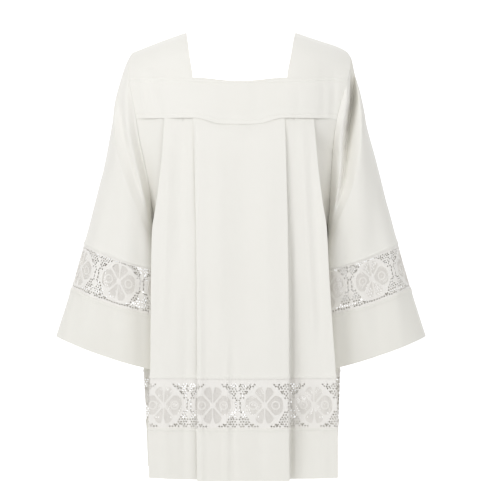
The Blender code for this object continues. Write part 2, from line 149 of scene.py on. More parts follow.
ARMHOLE = (
    ArmholeStation(-0.042, 0.2260),
    ArmholeStation(-0.048, 0.2275),
    ArmholeStation(-0.067, 0.2305),
    ArmholeStation(-0.097, 0.2270),
    ArmholeStation(-0.137, 0.2180),
    ArmholeStation(YOKE_SEAM_Z, 0.2070),
    ArmholeStation(-0.232, 0.2000),
    ArmholeStation(-0.279, 0.1930),
    ArmholeStation(-0.323, 0.1880),
    ArmholeStation(-0.361, 0.1850),
    ArmholeStation(-0.390, 0.1830),
    ArmholeStation(-0.409, 0.1810),
    ArmholeStation(UNDERARM_Z, 0.1800),
)
ARMHOLE_SUNK = {  # how far each armhole lies back of its smooth curve, by station
    Hand.LEFT: ((5, 6.5, 9, 10.5), (0, 0.026, 0.020, 0)),
    Hand.RIGHT: ((5, 6.5, 9, 11), (0, 0.004, 0.006, 0)),
}
YOKE_STATION = 5
UNDERARM_STATION = len(ARMHOLE) - 1
SHOULDER_RISE = {Hand.LEFT: 0.0055, Hand.RIGHT: 0.0}  # how far each shoulder bulges near its end


class YokeRow(NamedTuple):
    """One row of the yoke, from the shoulder down: the neck side's edge, then the centre."""

    neck_x: float
    neck_depth: float
    neck_z: float
    centre_depth: float
    centre_z: float


NECK_ROW = 3
STRAP_DEPTH_POWER = 1.6
STRAP_DROP_POWER = 1.1
FINE = (-0.045, -0.03, -0.015, 0.0, 0.015, 0.03, 0.045)  # extra rows round a groove in the yoke
YOKE_ROWS = {
    Side.FRONT: (
        YokeRow(0.1140, 0.000, 0.000, 0.105, -0.1085),
        YokeRow(0.1110, 0.050, -0.013, 0.105, -0.1085),
        YokeRow(0.1050, 0.087, -0.050, 0.105, -0.1085),
        YokeRow(0.0970, 0.101, -0.101, 0.105, -0.1085),
        YokeRow(0.0955, 0.110, -0.143, 0.1135, -0.153),
        YokeRow(BOX_HALF, 0.1163, YOKE_SEAM_Z, 0.120, YOKE_SEAM_Z - YOKE_DIP),
    ),
    Side.BACK: (
        YokeRow(0.1140, 0.000, 0.000, 0.100, -0.108),
        YokeRow(0.1130, 0.048, -0.013, 0.100, -0.108),
        YokeRow(0.1090, 0.083, -0.050, 0.100, -0.108),
        YokeRow(0.1030, 0.097, -0.103, 0.100, -0.108),
        YokeRow(0.0980, 0.106, -0.143, 0.109, -0.150),
        YokeRow(BOX_HALF, 0.1113, YOKE_SEAM_Z, 0.115, YOKE_SEAM_Z - YOKE_DIP),
    ),
}


class Level(NamedTuple):
    """A level cut through one pleated panel. Depths run out from the plane of the side seams."""

    centre: float  # depth at the centre line
    box: float  # depth at the box pleat's edge
    edge_x: float  # the side pleat's edge
    edge: float
    tuck_x: float  # the side pleat's inner fold
    web_x: float  # the side of the body, behind the sleeve
    web: float
    seam_x: float  # the side seam
    open_left: float  # how far the cloth beside the box pleat falls back
    open_right: float
    sway: float  # how far the pleats hang to the wearer's left


LEVEL_HEIGHTS = (
    YOKE_SEAM_Z, -0.279, -0.361, UNDERARM_Z, -0.500,
    -0.610, LACE_TOP_Z, LACE_FOOT_Z, HEM_Z,
)
LEVELS = {
    Side.FRONT: in_metres(
        Level,
        (120, 116.3, 154, 104, 114, 162, 93, 207, 0, 0, -4),
        (126, 123.5, 161, 112, 127, 160, 95, 193, 3, 1, -3),
        (130, 128, 171, 118, 140, 158, 90, 185, 6, 1, -3),
        (133, 131, 179, 121, 150, 155, 82, 180, 8, 1, -3),
        (137, 135, 182, 125, 160, 159, 80, 163, 11, 2, -2),
        (142, 140, 186, 129, 170, 163, 70, 162, 15, 3, 1),
        (146, 145, 190, 132, 178, 168, 62, 166, 18, 4, 4),
        (149, 148, 194, 134, 183, 186, 62, 188, 21, 6, 4),
        (151, 150, 193, 135, 183, 190, 64, 193, 23, 8, 5),
    ),
    Side.BACK: in_metres(
        Level,
        (115, 111.3, 156, 100, 116, 162, 89, 207, 0, 0, 0),
        (119, 116.5, 166, 106, 130, 160, 93, 193, 1, 2, 0),
        (122, 120, 181, 111, 147, 158, 89, 185, 2, 3, 0),
        (124, 122, 192, 113, 160, 155, 81, 180, 3, 4, 1),
        (127, 125, 198, 116, 170, 159, 80, 163, 4, 6, 1),
        (131, 129, 204, 120, 183, 163, 70, 162, 5, 8, 2),
        (134, 133, 211, 122, 196, 168, 62, 166, 6, 11, 2),
        (137, 136, 207, 124, 195, 186, 62, 188, 8, 14, 3),
        (138, 137, 203, 125, 193, 190, 64, 193, 10, 16, 3),
    ),
}
SEAM = 13  # the side seam's station, counted from the centre line
BOX_STATIONS = 8  # those that belong to the box pleat
SWAY_SHARE = (1, 1, 1, 1, 1, 1, 1, 1, 1, 1, 0.8, 0.8, 0.4, 0)
BOX_SWAY = ((0.185, 0.300, 0.415, 0.520, 0.620, 0.719), (0, 0.002, 0.005, 0.005, 0.003, 0))
DIP_STATIONS = ((0, 0.9, 2, 3, 4, 5, 6, SEAM), (0, 0.16, 1, 1, 0.5, 0.5, 1, 1))
DIP_REACH = 0.08  # how far below the seam the pleats still follow its dip
HEM_RISE = (0, 0, 0, 0, 0, 0.001, 0.002, 0.003, 0.005, 0.005, 0.005, 0.005, 0.006, 0.006)
SEAM_PLY = (0, 0, 0, 1, 1, 2, 1.6, 0.5, 0, 1, 1, 2, 1.8, 0)  # how many layers down, at the yoke
WEB_RISE = {  # how full the cloth beside each armhole is, at depths below the shoulder
    Hand.LEFT: ((0.185, 0.240, 0.330, 0.390, 0.415, 0.500), (0, -0.020, -0.026, 0.004, 0.012, 0)),
    Hand.RIGHT: ((0.185, 0.279, 0.361, 0.415, 0.500), (0, 0.010, 0.011, 0.008, 0)),
}
PRESSED = {Hand.LEFT: 0.0030, Hand.RIGHT: 0.0015}  # from layer to layer lower down
SEWN_REACH = 0.070  # how far below the yoke the pleats are still pressed together
SEWN_POWER = 1.5  # how fast they come apart below it
FOLD_TURN = 0.0005  # how far a fold's layer lies inside its edge
BOX_BELLY = 0.4  # how much of the centre's depth the box pleat keeps halfway to its edge
INNER_FALL = 0.6  # how much of the fall beside the box pleat its inner layer takes
MIDDLE_FALL = 0.25  # and the cloth halfway to the side pleat
TUCK_LAYERS = 2.4  # how many layers down the side pleat's inner fold lies
BOX_GAP = 0.004  # from the box pleat's edge to the cloth that comes out from under it
SEAM_DEPTH = 0.0002  # half the gap between front and back at the side seam
FOLD_STATIONS = (2, 3, 4, 5, 8, 9, 10, 11)
RELAX_TURNS = 70  # how often the panel's columns are relaxed towards each other
RELAX_ALL = 3  # and how often with its folds
FOLD_HOLD = 3  # the relaxing is full at 1 over this from a fold, in stations
ROUNDELS = {  # how far the lace's visible roundels stand from the centre line
    Side.FRONT: (-0.1581, -0.0577, 0.0483, 0.1494),
    Side.BACK: (-0.1660, -0.0606, 0.0507, 0.1570),
}


class Span(NamedTuple):
    """How the cloth between two stations is divided, and whether it is finer at an end."""

    pieces: int
    finer_start: bool = False
    finer_end: bool = False


SPANS = (
    *(Span(14), Span(18, False, True), Span(5), Span(14, True, True), Span(4), Span(14, True, True)),
    *(Span(12, True), Span(14, False, True), Span(5), Span(9, True, True), Span(4), Span(12, True)),
    Span(10),
)


class SleeveRing(NamedTuple):
    """A ring round the sleeve: its outermost and innermost points and its half depth."""

    out_x: float
    out_z: float
    in_x: float
    in_z: float
    depth: float
    bow: float  # how far front and back bulge away from the body
    sag: float  # how far front and back hang below the straight line
    trough: float  # the long fold beside the armhole, as a share of each sleeve's fold depth
    lean: float  # how much of the garment's lean it takes
    flat: float  # 1 on a round section, less where front and back are flatter
    inner_flat: float  # the same on the half beside the body


SLEEVE_RINGS = (
    #          out_x  out_z   in_x    in_z    depth  bow    sag    trough lean  flat  inner
    SleeveRing(0.234, -0.055, 0.1825, -0.418, 0.089, 0.010, 0.000, -0.20, 1.00, 1.00, 0.50),
    SleeveRing(0.243, -0.085, 0.1825, -0.423, 0.089, 0.014, 0.000, 1.00, 1.20, 1.00, 0.34),
    SleeveRing(0.252, -0.118, 0.1815, -0.430, 0.089, 0.030, 0.000, -0.10, 0.70, 0.95, 0.27),
    SleeveRing(0.266, -0.190, 0.1792, -0.442, 0.089, 0.027, 0.000, 0.00, 0.35, 0.88, 0.24),
    SleeveRing(0.284, -0.270, 0.1765, -0.457, 0.088, 0.019, 0.002, 0.00, 0.00, 0.80, 0.22),
    SleeveRing(0.305, -0.356, 0.1740, -0.476, 0.087, 0.010, 0.004, 0.00, 0.00, 0.76, 0.22),
    SleeveRing(0.330, -0.449, 0.1730, -0.500, 0.085, 0.000, 0.006, 0.00, 0.00, 0.72, 0.22),
    SleeveRing(0.355, -0.535, 0.1720, -0.594, 0.080, 0.000, 0.006, 0.00, 0.00, 0.72, 0.24),
    SleeveRing(0.387, -0.636, 0.1710, -0.707, 0.073, 0.000, 0.006, 0.00, 0.00, 0.72, 0.28),
)
LACE_TOP_RING = 6
LACE_FOOT_RING = 7
SLEEVE_LACE_RISE = 0.006  # how far above its ring the lace's upper seam is sewn
FOLD_DEPTH = {Hand.LEFT: 0.016, Hand.RIGHT: 0.006}
BACK_FOLD_SHARE = 0.5
FULLNESS = {Hand.LEFT: 0.08, Hand.RIGHT: 0.14}  # how much fuller the front is beside the body
SLEEVE_REPEATS = 6
SLEEVE_LACE_HEAD = 0.0052  # the plain cloth along the lace's upper edge
ROUNDEL_SHIFT = {Hand.LEFT: 0.027, Hand.RIGHT: 0.004}
SLEEVE_COLUMNS = 96
SLEEVE_FINE_RING = 4  # the ring down to which the rows are finer
SLEEVE_FINE_ROWS = 86
CREASE_START = 0.008  # from the armhole seam to a crease's full height
FOLD_START = 0.004  # and to a deep fold's
FOLD_LIMIT = 0.9  # a deep fold stays this share of the way to the sleeve's middle
EDGE_FADE = 0.03  # creases fade this near to the sleeve's outline


class Crease(NamedTuple):
    """A soft ridge (height above 0) or trough (below 0) along a line seen from the front."""

    x0: float
    z0: float
    x1: float
    z1: float
    width: float
    height: float


class Fold(NamedTuple):
    """A station of a deep fold down the front of a sleeve, beside its armhole."""

    z: float
    x: float
    near: float  # its width on the body's side
    far: float
    depth: float


BODY_CREASES = {
    Side.FRONT: in_metres(
        Crease,
        (4, -200, 8, -680, 30, -4), (-46, -210, -40, -720, 16, 1.8), (55, -240, 60, -800, 18, 1.5),
        (-28, -620, -30, -990, 7, 2.4), (-17, -660, -18, -990, 8, -2), (-84, -500, -80, -1000, 6, 2.8),
        (-92, -190, -94, -400, 4, -2), (36, -740, 40, -1000, 12, -1.6),
        (103, -400, 103, -1060, 5, -3.6), (125, -190, 150, -660, 10, 3.4),
        (140, -260, 168, -740, 12, -3.6), (112, -520, 124, -1000, 11, -3),
        (-125, -180, -128, -500, 12, -3), (-148, -210, -158, -620, 8, 2.4),
        (-112, -550, -118, -1000, 9, -2.4), (-160, -660, -150, -1000, 12, 2.6),
        (164, -600, 170, -1000, 10, 2.2),
    ),
    Side.BACK: in_metres(
        Crease,
        (10, -200, 2, -700, 28, -4), (46, -220, 50, -760, 16, 2), (-58, -240, -52, -820, 18, 1.6),
        (26, -600, 30, -990, 8, 2.2), (88, -480, 82, -1000, 7, 2.6), (-126, -200, -150, -680, 11, 3),
        (-142, -280, -172, -760, 12, -3.2), (124, -190, 136, -550, 12, -3),
        (150, -240, 168, -660, 9, 2.6), (-118, -560, -126, -1000, 10, -2.6),
        (128, -600, 134, -1000, 11, -2.4),
    ),
}
SLEEVE_FOLDS = {
    Hand.LEFT: in_metres(
        Fold,
        (-42, 229, 5, 4, 0), (-56, 230, 5, 4.5, 40), (-80, 231.5, 5.5, 5, 56), (-104, 232.5, 6, 6, 60),
        (-138, 232, 6.5, 7.5, 54), (-171, 227.5, 7, 9, 44), (-204, 221.5, 7.5, 10.5, 33),
        (-246, 215, 8, 12.5, 20), (-287, 210, 8.5, 15, 10), (-345, 205, 9, 18, 0),
    ),
    Hand.RIGHT: in_metres(
        Fold,
        (-150, 223.5, 3, 6, 0), (-200, 217.5, 3, 6, 2), (-245, 209.5, 3, 7, 6), (-285, 200.5, 3, 8, 7),
        (-325, 194, 3, 8, 3), (-370, 189, 3, 8, 0),
    ),
}
YOKE_CREASES = {
    Side.FRONT: in_metres(
        Crease,
        (186, -70, 184, -215, 22, -2.6), (168, -84, 168, -205, 6, -0.8),
        (181, -92, 182, -215, 5.5, 0.7), (193, -82, 191, -200, 5.5, -0.6),
        (204, -95, 201, -195, 5.5, 0.8), (-190, -80, -160, -200, 12, -4), (-208, -95, -196, -185, 6, 2),
        (-60, -110, -50, -200, 20, 1.2), (30, -105, 40, -205, 16, -1.4),
        (115, -95, 120, -200, 12, -1.2),
    ),
    Side.BACK: in_metres(
        Crease,
        (-176, -85, -178, -200, 4.5, -2.2), (-187, -85, -187, -195, 4, 2),
        (185, -80, 165, -200, 11, -3.6), (50, -110, 45, -205, 18, 1.4),
    ),
}
SLEEVE_CREASES = {
    (Hand.LEFT, Side.FRONT): in_metres(
        Crease,
        (206, -120, 226, -165, 3.5, 1.6), (203, -150, 224, -205, 3.5, 1.8),
        (201, -185, 221, -245, 3.5, 1.8), (198, -225, 217, -285, 3.5, 1.6),
        (195, -262, 212, -325, 3.5, 1.5), (262, -180, 285, -520, 16, -3), (240, -240, 250, -640, 14, 3),
        (300, -360, 335, -680, 14, 3), (215, -420, 210, -730, 12, -3), (270, -480, 290, -710, 12, -2.6),
    ),
    (Hand.RIGHT, Side.FRONT): in_metres(
        Crease,
        (-236, -110, -232, -360, 12, 1.2), (-222, -150, -216, -340, 8, -0.8),
        (-252, -160, -268, -480, 15, -2.8), (-285, -300, -315, -640, 15, 2.8),
        (-236, -360, -244, -700, 13, 2.6), (-210, -400, -206, -720, 11, -3),
        (-330, -480, -352, -660, 12, -2.4),
    ),
    (Hand.LEFT, Side.BACK): in_metres(
        Crease,
        (232, -100, 236, -340, 8, 2.8), (258, -200, 276, -520, 15, -2.8),
        (292, -340, 322, -660, 14, 2.6), (222, -380, 226, -710, 13, 2.8),
    ),
    (Hand.RIGHT, Side.BACK): in_metres(
        Crease,
        (-236, -100, -240, -360, 8, -2.8), (-262, -200, -282, -540, 15, 2.8),
        (-304, -340, -334, -660, 14, -2.6), (-226, -380, -230, -700, 13, -2.6),
    ),
}


def cell(knots: np.ndarray, places: np.ndarray) -> tuple[np.ndarray, np.ndarray]:
    """Which interval between rising knots each place is in, and its share of the way through it."""
    low = np.clip(np.searchsorted(knots, places, side="right") - 1, 0, len(knots) - 2)
    return low, (places - knots[low]) / (knots[low + 1] - knots[low])


def eased(at: np.ndarray, knots: Sequence[float], values: Sequence) -> np.ndarray:
    """Reads a table on smooth curves that never overshoot its rows.

    Args:
        at: Where to read it.
        knots: Each row's place, rising.
        values: One row of numbers for each knot.

    Returns:
        One row for each place asked for.
    """
    knots, values = np.asarray(knots, float), np.asarray(values, float)
    shape = values.shape[1:]
    values = values.reshape(len(knots), -1)
    step = np.diff(knots)[:, None]
    slope = np.diff(values, axis=0) / step
    product, total = slope[:-1] * slope[1:], slope[:-1] + slope[1:]
    middle = np.where(product > 0, 2 * product / np.where(total == 0, 1, total), 0)
    tangent = np.concatenate((slope[:1], middle, slope[-1:]))
    low, t = cell(knots, at)
    width, t = step[low], t[:, None]
    read = (
        (1 + 2 * t) * (1 - t) ** 2 * values[low]
        + t * (1 - t) ** 2 * width * tangent[low]
        + t * t * (3 - 2 * t) * values[low + 1]
        + t * t * (t - 1) * width * tangent[low + 1]
    )
    return read.reshape(-1, *shape)


def unit(vectors: np.ndarray) -> np.ndarray:
    """Vectors made one metre long."""
    return vectors / np.maximum(np.linalg.norm(vectors, axis=-1, keepdims=True), TINY)


def running(points: np.ndarray, axis: int) -> np.ndarray:
    """The length along rows of points on an axis of a grid, from 0."""
    steps = np.linalg.norm(np.diff(points, axis=axis), axis=-1)
    return np.concatenate((np.zeros_like(steps.take([0], axis)), np.cumsum(steps, axis)), axis)


def relief(creases: Sequence[Crease], x: np.ndarray, z: np.ndarray) -> np.ndarray:
    """How far creases push the cloth out, each fading towards its ends.

    Args:
        creases: The ridges and troughs.
        x: Where each point is across the garment.
        z: The height of each point.

    Returns:
        The push at each point, in metres.
    """
    push = np.zeros_like(x)
    for crease in creases:
        run = np.array((crease.x1 - crease.x0, crease.z1 - crease.z0))
        along = ((x - crease.x0) * run[0] + (z - crease.z0) * run[1]) / (run @ run)
        inside = np.clip(along, 0, 1)
        gap = np.hypot(x - crease.x0 - inside * run[0], z - crease.z0 - inside * run[1])
        fade = np.sqrt(np.clip(4 * inside * (1 - inside), 0, 1))
        push += crease.height * fade * np.exp(-((gap / crease.width) ** 2))
    return push


def fold_push(folds: Sequence[Fold], x: np.ndarray, z: np.ndarray) -> np.ndarray:
    """How far a deep fold pushes the cloth back.

    Args:
        folds: Its stations from the head down.
        x: How far each point is from the garment's centre.
        z: The height of each point.

    Returns:
        The push at each point, in metres.
    """
    knots = [-fold.z for fold in folds]
    here = eased(np.clip(-z.ravel(), knots[0], knots[-1]), knots, folds).reshape(*z.shape, -1)
    here = Fold(*np.moveaxis(here, -1, 0))
    off = (x - here.x) / np.where(x < here.x, here.near, here.far)
    return here.depth * np.exp(-(off**2))


@dataclass
class Surface:
    """A cloth surface sampled on a fine grid and read anywhere between its samples."""

    across: np.ndarray
    down: np.ndarray
    points: np.ndarray
    closed: bool = False

    def at(self, across: np.ndarray, down: np.ndarray) -> np.ndarray:
        """Points of the surface.

        Args:
            across: Places along a row.
            down: Places down a column.

        Returns:
            One point for each pair of places.
        """
        column, u = cell(self.across, across)
        row, v = cell(self.down, down)
        u, v = u[:, None], v[:, None]
        top = self.points[row, column] * (1 - u) + self.points[row, column + 1] * u
        foot = self.points[row + 1, column] * (1 - u) + self.points[row + 1, column + 1] * u
        return top * (1 - v) + foot * v

    def rows(self, first: float, last: float, near: Sequence[float] = ()) -> "Surface":
        """The same surface from one height to another.

        Args:
            first: Where it starts.
            last: Where it ends.
            near: Extra rows, as distances in from both ends.

        Returns:
            The part between them, with rows at both ends.
        """
        extra = [first, *(first + step for step in near), *(last - step for step in near), last]
        inner = self.down[(self.down > first) & (self.down < last)]
        clear = np.abs(inner[:, None] - np.array(extra)).min(axis=1) > ROW_CLEAR
        down = np.sort(np.concatenate((extra, inner[clear])))
        grid = [self.at(self.across, np.full(len(self.across), place)) for place in down]
        return Surface(self.across, down, np.array(grid), self.closed)

    def outward(self) -> np.ndarray:
        """The way that the cloth faces, away from the garment's inside.

        Returns:
            A unit normal at each sample.
        """
        points = self.points
        if self.closed:
            points = np.concatenate((points[:, -2:-1], points, points[:, 1:2]), axis=1)
        normal = np.cross(np.gradient(points, axis=0), np.gradient(points, axis=1))
        normal = normal[:, 1:-1] if self.closed else normal
        return unit(normal)

    def laid_flat(self) -> np.ndarray:
        """Where each sample lies on the flat cloth, for its weave.

        Returns:
            Places across the cloth and along it, in metres.
        """
        u = running(self.points, 1)
        u -= u[:, [u.shape[1] // 2]]
        v = -running(self.points, 0)
        return np.stack([u, v], axis=2)

    def middle_row(self) -> np.ndarray:
        """How far along the flat cloth each sample of the middle row lies."""
        return self.laid_flat()[len(self.down) // 2, :, 0]

    def size(self) -> tuple[float, float, float]:
        """The size of the cloth when it is laid flat.

        Returns:
            Its width, its length and its area.
        """
        flat = self.laid_flat()
        width, length = float(np.ptp(flat[..., 0], axis=1).max()), float(-flat[-1, :, 1].min())
        a, b = self.points[:-1, :-1], self.points[:-1, 1:]
        c, d = self.points[1:, 1:], self.points[1:, :-1]
        area = float(np.linalg.norm(np.cross(c - a, d - b), axis=2).sum() / 2)
        return width, length, min(area, MOST_AREA * width * length)

    def turned(self) -> "Surface":
        """The same surface with its columns in the other order, so that it faces the other way."""
        return Surface(-self.across[::-1], self.down, self.points[:, ::-1], self.closed)

    def moved_out(self, distance: np.ndarray | float) -> "Surface":
        """The same surface, moved along its normals.

        Args:
            distance: How far, for the whole of it or for each sample.

        Returns:
            The moved surface.
        """
        push = np.broadcast_to(distance, self.points.shape[:2])[..., None]
        return Surface(self.across, self.down, self.points + self.outward() * push, self.closed)


def new_object(name: str, points: np.ndarray, faces: list, uvs: np.ndarray | None) -> bpy.types.Object:
    """A mesh object in the scene, with its cloth laid out in its UV map.

    Args:
        name: The piece's name.
        points: Its points.
        faces: Its faces, as point numbers.
        uvs: Each point's place on the flat cloth.

    Returns:
        The object, the only one that is selected.
    """
    mesh = bpy.data.meshes.new(name)
    mesh.from_pydata(np.asarray(points).tolist(), [], faces)
    if uvs is not None:
        layer = mesh.uv_layers.new(name="cloth")
        corners = np.empty(len(mesh.loops), np.int32)
        mesh.loops.foreach_get("vertex_index", corners)
        layer.uv.foreach_set("vector", np.asarray(uvs, np.float32)[corners].ravel())
    piece = bpy.data.objects.new(name, mesh)
    bpy.context.scene.collection.objects.link(piece)
    bpy.ops.object.select_all(action="DESELECT")
    piece.select_set(True)
    bpy.context.view_layer.objects.active = piece
    return piece


def thicken(piece: bpy.types.Object, wall: float) -> None:
    """Gives an open sheet its thickness, half to each side.

    Args:
        piece: The sheet.
        wall: How thick it becomes.
    """
    solid = piece.modifiers.new("wall", "SOLIDIFY")
    solid.thickness = wall
    solid.offset = 0.0
    bpy.ops.object.modifier_apply(modifier=solid.name)
    bpy.ops.object.shade_smooth_by_angle(angle=SHARP_TURN)


def merge(piece: bpy.types.Object, reach: float, face_out: bool = False) -> None:
    """Deletes a mesh's loose points and joins those that meet.

    Args:
        piece: The object.
        reach: How near to each other the points that it joins are, or 0 for none.
        face_out: Whether its faces are turned to agree with each other.
    """
    work = bmesh.new()
    work.from_mesh(piece.data)
    loose = [vertex for vertex in work.verts if not vertex.link_faces]
    bmesh.ops.delete(work, geom=loose, context="VERTS")
    if reach:
        bmesh.ops.remove_doubles(work, verts=work.verts, dist=reach)
    if face_out:
        bmesh.ops.recalc_face_normals(work, faces=work.faces)
    work.to_mesh(piece.data)
    work.free()


def sheet_object(
    name: str, surface: Surface, wall: float, keep: Callable[[float, float], bool] | None = None
) -> bpy.types.Object:
    """Makes a cloth sheet from a surface.

    Args:
        name: The piece's name.
        surface: The surface that it follows.
        wall: Its thickness.
        keep: Says whether the sheet has cloth at a place; it has it all over if left out.

    Returns:
        The new object.
    """
    rows, columns = surface.points.shape[:2]
    across = (surface.across[:-1] + surface.across[1:]) / 2
    down = (surface.down[:-1] + surface.down[1:]) / 2
    faces = []
    for row in range(rows - 1):
        for column in range(columns - 1):
            if keep is None or keep(across[column], down[row]):
                corner = row * columns + column
                faces.append((corner, corner + columns, corner + columns + 1, corner + 1))
    piece = new_object(name, surface.points.reshape(-1, 3), faces, surface.laid_flat().reshape(-1, 2))
    merge(piece, SAME_POINT if surface.closed else 0)
    thicken(piece, wall)
    return piece


# --- finishes ---


@dataclass
class Nodes:
    """A short way to place and join the nodes of one tree."""

    tree: bpy.types.NodeTree

    def add(self, kind: str, **settings: object) -> bpy.types.Node:
        """Adds a node.

        Args:
            kind: Its type.
            settings: Values of its properties.

        Returns:
            The node.
        """
        node = self.tree.nodes.new(kind)
        for name, value in settings.items():
            setattr(node, name, value)
        return node

    def join(self, source: bpy.types.NodeSocket, target: bpy.types.NodeSocket) -> None:
        """Links two sockets."""
        self.tree.links.new(source, target)

    def maths(self, operation: str, *values: object) -> bpy.types.NodeSocket:
        """Adds a Math node.

        Args:
            operation: What it works out.
            values: The sockets or numbers that it works on.

        Returns:
            Its result.
        """
        node = self.add("ShaderNodeMath", operation=operation)
        for socket, value in zip(node.inputs, values):
            if isinstance(value, (int, float)):
                socket.default_value = value
            else:
                self.join(value, socket)
        return node.outputs[0]

    def noise(self, place: bpy.types.NodeSocket, scale: float, detail: float) -> bpy.types.NodeSocket:
        """Adds a Noise node.

        Args:
            place: Where it is read.
            scale: Its scale.
            detail: How many finer layers it has.

        Returns:
            Its factor.
        """
        node = self.add("ShaderNodeTexNoise")
        node.inputs["Scale"].default_value = scale
        node.inputs["Detail"].default_value = detail
        self.join(place, node.inputs["Vector"])
        return node.outputs["Fac"]


def new_material(name: str, roughness: float, **settings: object) -> tuple:
    """Starts a material.

    Args:
        name: Its name.
        roughness: Its roughness.
        settings: Values of the shader's other sockets, with _ for a space.

    Returns:
        The material, its nodes and its shader.
    """
    material = bpy.data.materials.new(name)
    material.use_nodes = True
    shader = material.node_tree.nodes["Principled BSDF"]
    shader.inputs["Roughness"].default_value = roughness
    for socket, value in settings.items():
        shader.inputs[socket.replace("_", " ")].default_value = value
    return material, Nodes(material.node_tree), shader


@dataclass(frozen=True)
class WeaveEffect:
    """Crossing threads with a crepe's pebbled surface and a slow change of shade."""

    thread: float = 0.0011
    pebble: float = 900.0
    pebble_detail: float = 3.0
    cloud: float = 7.0
    cloud_detail: float = 2.0

    def group(self) -> bpy.types.NodeTree:
        """Builds the node group.

        Returns:
            The group, which takes Weave and Pebble and gives Height and Shade.
        """
        group = bpy.data.node_groups.new("crepe_weave", "ShaderNodeTree")
        for way, labels in {"INPUT": ("Weave", "Pebble"), "OUTPUT": ("Height", "Shade")}.items():
            for label in labels:
                group.interface.new_socket(name=label, in_out=way, socket_type="NodeSocketFloat")
        nodes = Nodes(group)
        entry, leave = nodes.add("NodeGroupInput"), nodes.add("NodeGroupOutput")
        place = nodes.add("ShaderNodeTexCoord")
        parts = nodes.add("ShaderNodeSeparateXYZ")
        nodes.join(place.outputs["UV"], parts.inputs[0])
        turn = 2 * math.pi / self.thread
        warp = nodes.maths("SINE", nodes.maths("MULTIPLY", parts.outputs["X"], turn))
        weft = nodes.maths("SINE", nodes.maths("MULTIPLY", parts.outputs["Y"], turn))
        cross = nodes.maths("MULTIPLY", nodes.maths("MULTIPLY", warp, weft), entry.outputs["Weave"])
        pebble = nodes.noise(place.outputs["Object"], self.pebble, self.pebble_detail)
        grain = nodes.maths("MULTIPLY", pebble, entry.outputs["Pebble"])
        nodes.join(nodes.maths("ADD", cross, grain), leave.inputs["Height"])
        cloud = nodes.noise(place.outputs["Object"], self.cloud, self.cloud_detail)
        nodes.join(cloud, leave.inputs["Shade"])
        return group


@dataclass(frozen=True)
class CrepeFinish:
    """A matt woven cloth with a soft sheen."""

    name: str
    light: tuple[float, float, float]
    dark: tuple[float, float, float]
    roughness: float = 0.72
    sheen: float = 0.25
    sheen_roughness: float = 0.5
    weave: float = 0.4
    pebble: float = 0.6
    bump: float = 0.18
    bump_height: float = 0.0004

    def material(self, effect: bpy.types.NodeTree) -> bpy.types.Material:
        """Builds the finish.

        Args:
            effect: The weave's node group.

        Returns:
            The material.
        """
        material, nodes, shader = new_material(
            self.name,
            self.roughness,
            Sheen_Weight=self.sheen,
            Sheen_Roughness=self.sheen_roughness,
        )
        weave = nodes.add("ShaderNodeGroup", node_tree=effect)
        weave.inputs["Weave"].default_value = self.weave
        weave.inputs["Pebble"].default_value = self.pebble
        mix = nodes.add("ShaderNodeMix", data_type="RGBA")
        mix.inputs["A"].default_value = (*self.dark, 1)
        mix.inputs["B"].default_value = (*self.light, 1)
        nodes.join(weave.outputs["Shade"], mix.inputs["Factor"])
        nodes.join(mix.outputs["Result"], shader.inputs["Base Color"])
        bump = nodes.add("ShaderNodeBump")
        bump.inputs["Strength"].default_value = self.bump
        bump.inputs["Distance"].default_value = self.bump_height
        nodes.join(weave.outputs["Height"], bump.inputs["Height"])
        nodes.join(bump.outputs["Normal"], shader.inputs["Normal"])
        return material


@dataclass(frozen=True)
class NetFinish:
    """A fine net, open between its threads."""

    name: str
    colour: tuple[float, float, float]
    roughness: float = 0.8
    pitch: float = 0.0017
    stray: float = 0.25  # how uneven its holes are
    thread: float = 0.27  # half the width of its threads, as a share of the pitch

    def material(self) -> bpy.types.Material:
        """Builds the finish, with its holes as a pattern on the flat cloth.

        Returns:
            The material.
        """
        material, nodes, shader = new_material(
            self.name, self.roughness, Base_Color=(*self.colour, 1)
        )
        place = nodes.add("ShaderNodeTexCoord")
        cells = nodes.add("ShaderNodeTexVoronoi", feature="DISTANCE_TO_EDGE", voronoi_dimensions="2D")
        cells.inputs["Scale"].default_value = 1 / self.pitch
        cells.inputs["Randomness"].default_value = self.stray
        nodes.join(place.outputs["UV"], cells.inputs["Vector"])
        thread = nodes.maths("LESS_THAN", cells.outputs["Distance"], self.thread)
        nodes.join(thread, shader.inputs["Alpha"])
        return material


@dataclass
class Finishes:
    """Every finish of the garment."""

    crepe: bpy.types.Material
    hem: bpy.types.Material
    lace: bpy.types.Material
    net: bpy.types.Material
    thread: bpy.types.Material

    @classmethod
    def made(cls) -> "Finishes":
        """Builds them all.

        Returns:
            The garment's finishes.
        """
        woven = (
            CrepeFinish("ivory_crepe", (0.855, 0.839, 0.780), (0.830, 0.813, 0.750)),
            CrepeFinish("ivory_crepe_hem", (0.851, 0.835, 0.772), (0.823, 0.806, 0.738)),
            CrepeFinish(
                "white_lace",
                (0.905, 0.882, 0.830),
                (0.875, 0.849, 0.795),
                roughness=0.6,
                sheen=0.3,
                weave=0.7,
                pebble=0.3,
                bump=0.4,
            ),
            CrepeFinish(
                "topstitch",
                (0.865, 0.847, 0.791),
                (0.805, 0.788, 0.724),
                roughness=0.5,
                sheen=0.1,
                weave=0.0,
                pebble=0.4,
            ),
        )
        weave = WeaveEffect().group()
        crepe, hem, lace, thread = (finish.material(weave) for finish in woven)
        return cls(crepe, hem, lace, NetFinish("lace_net", (0.825, 0.798, 0.745)).material(), thread)


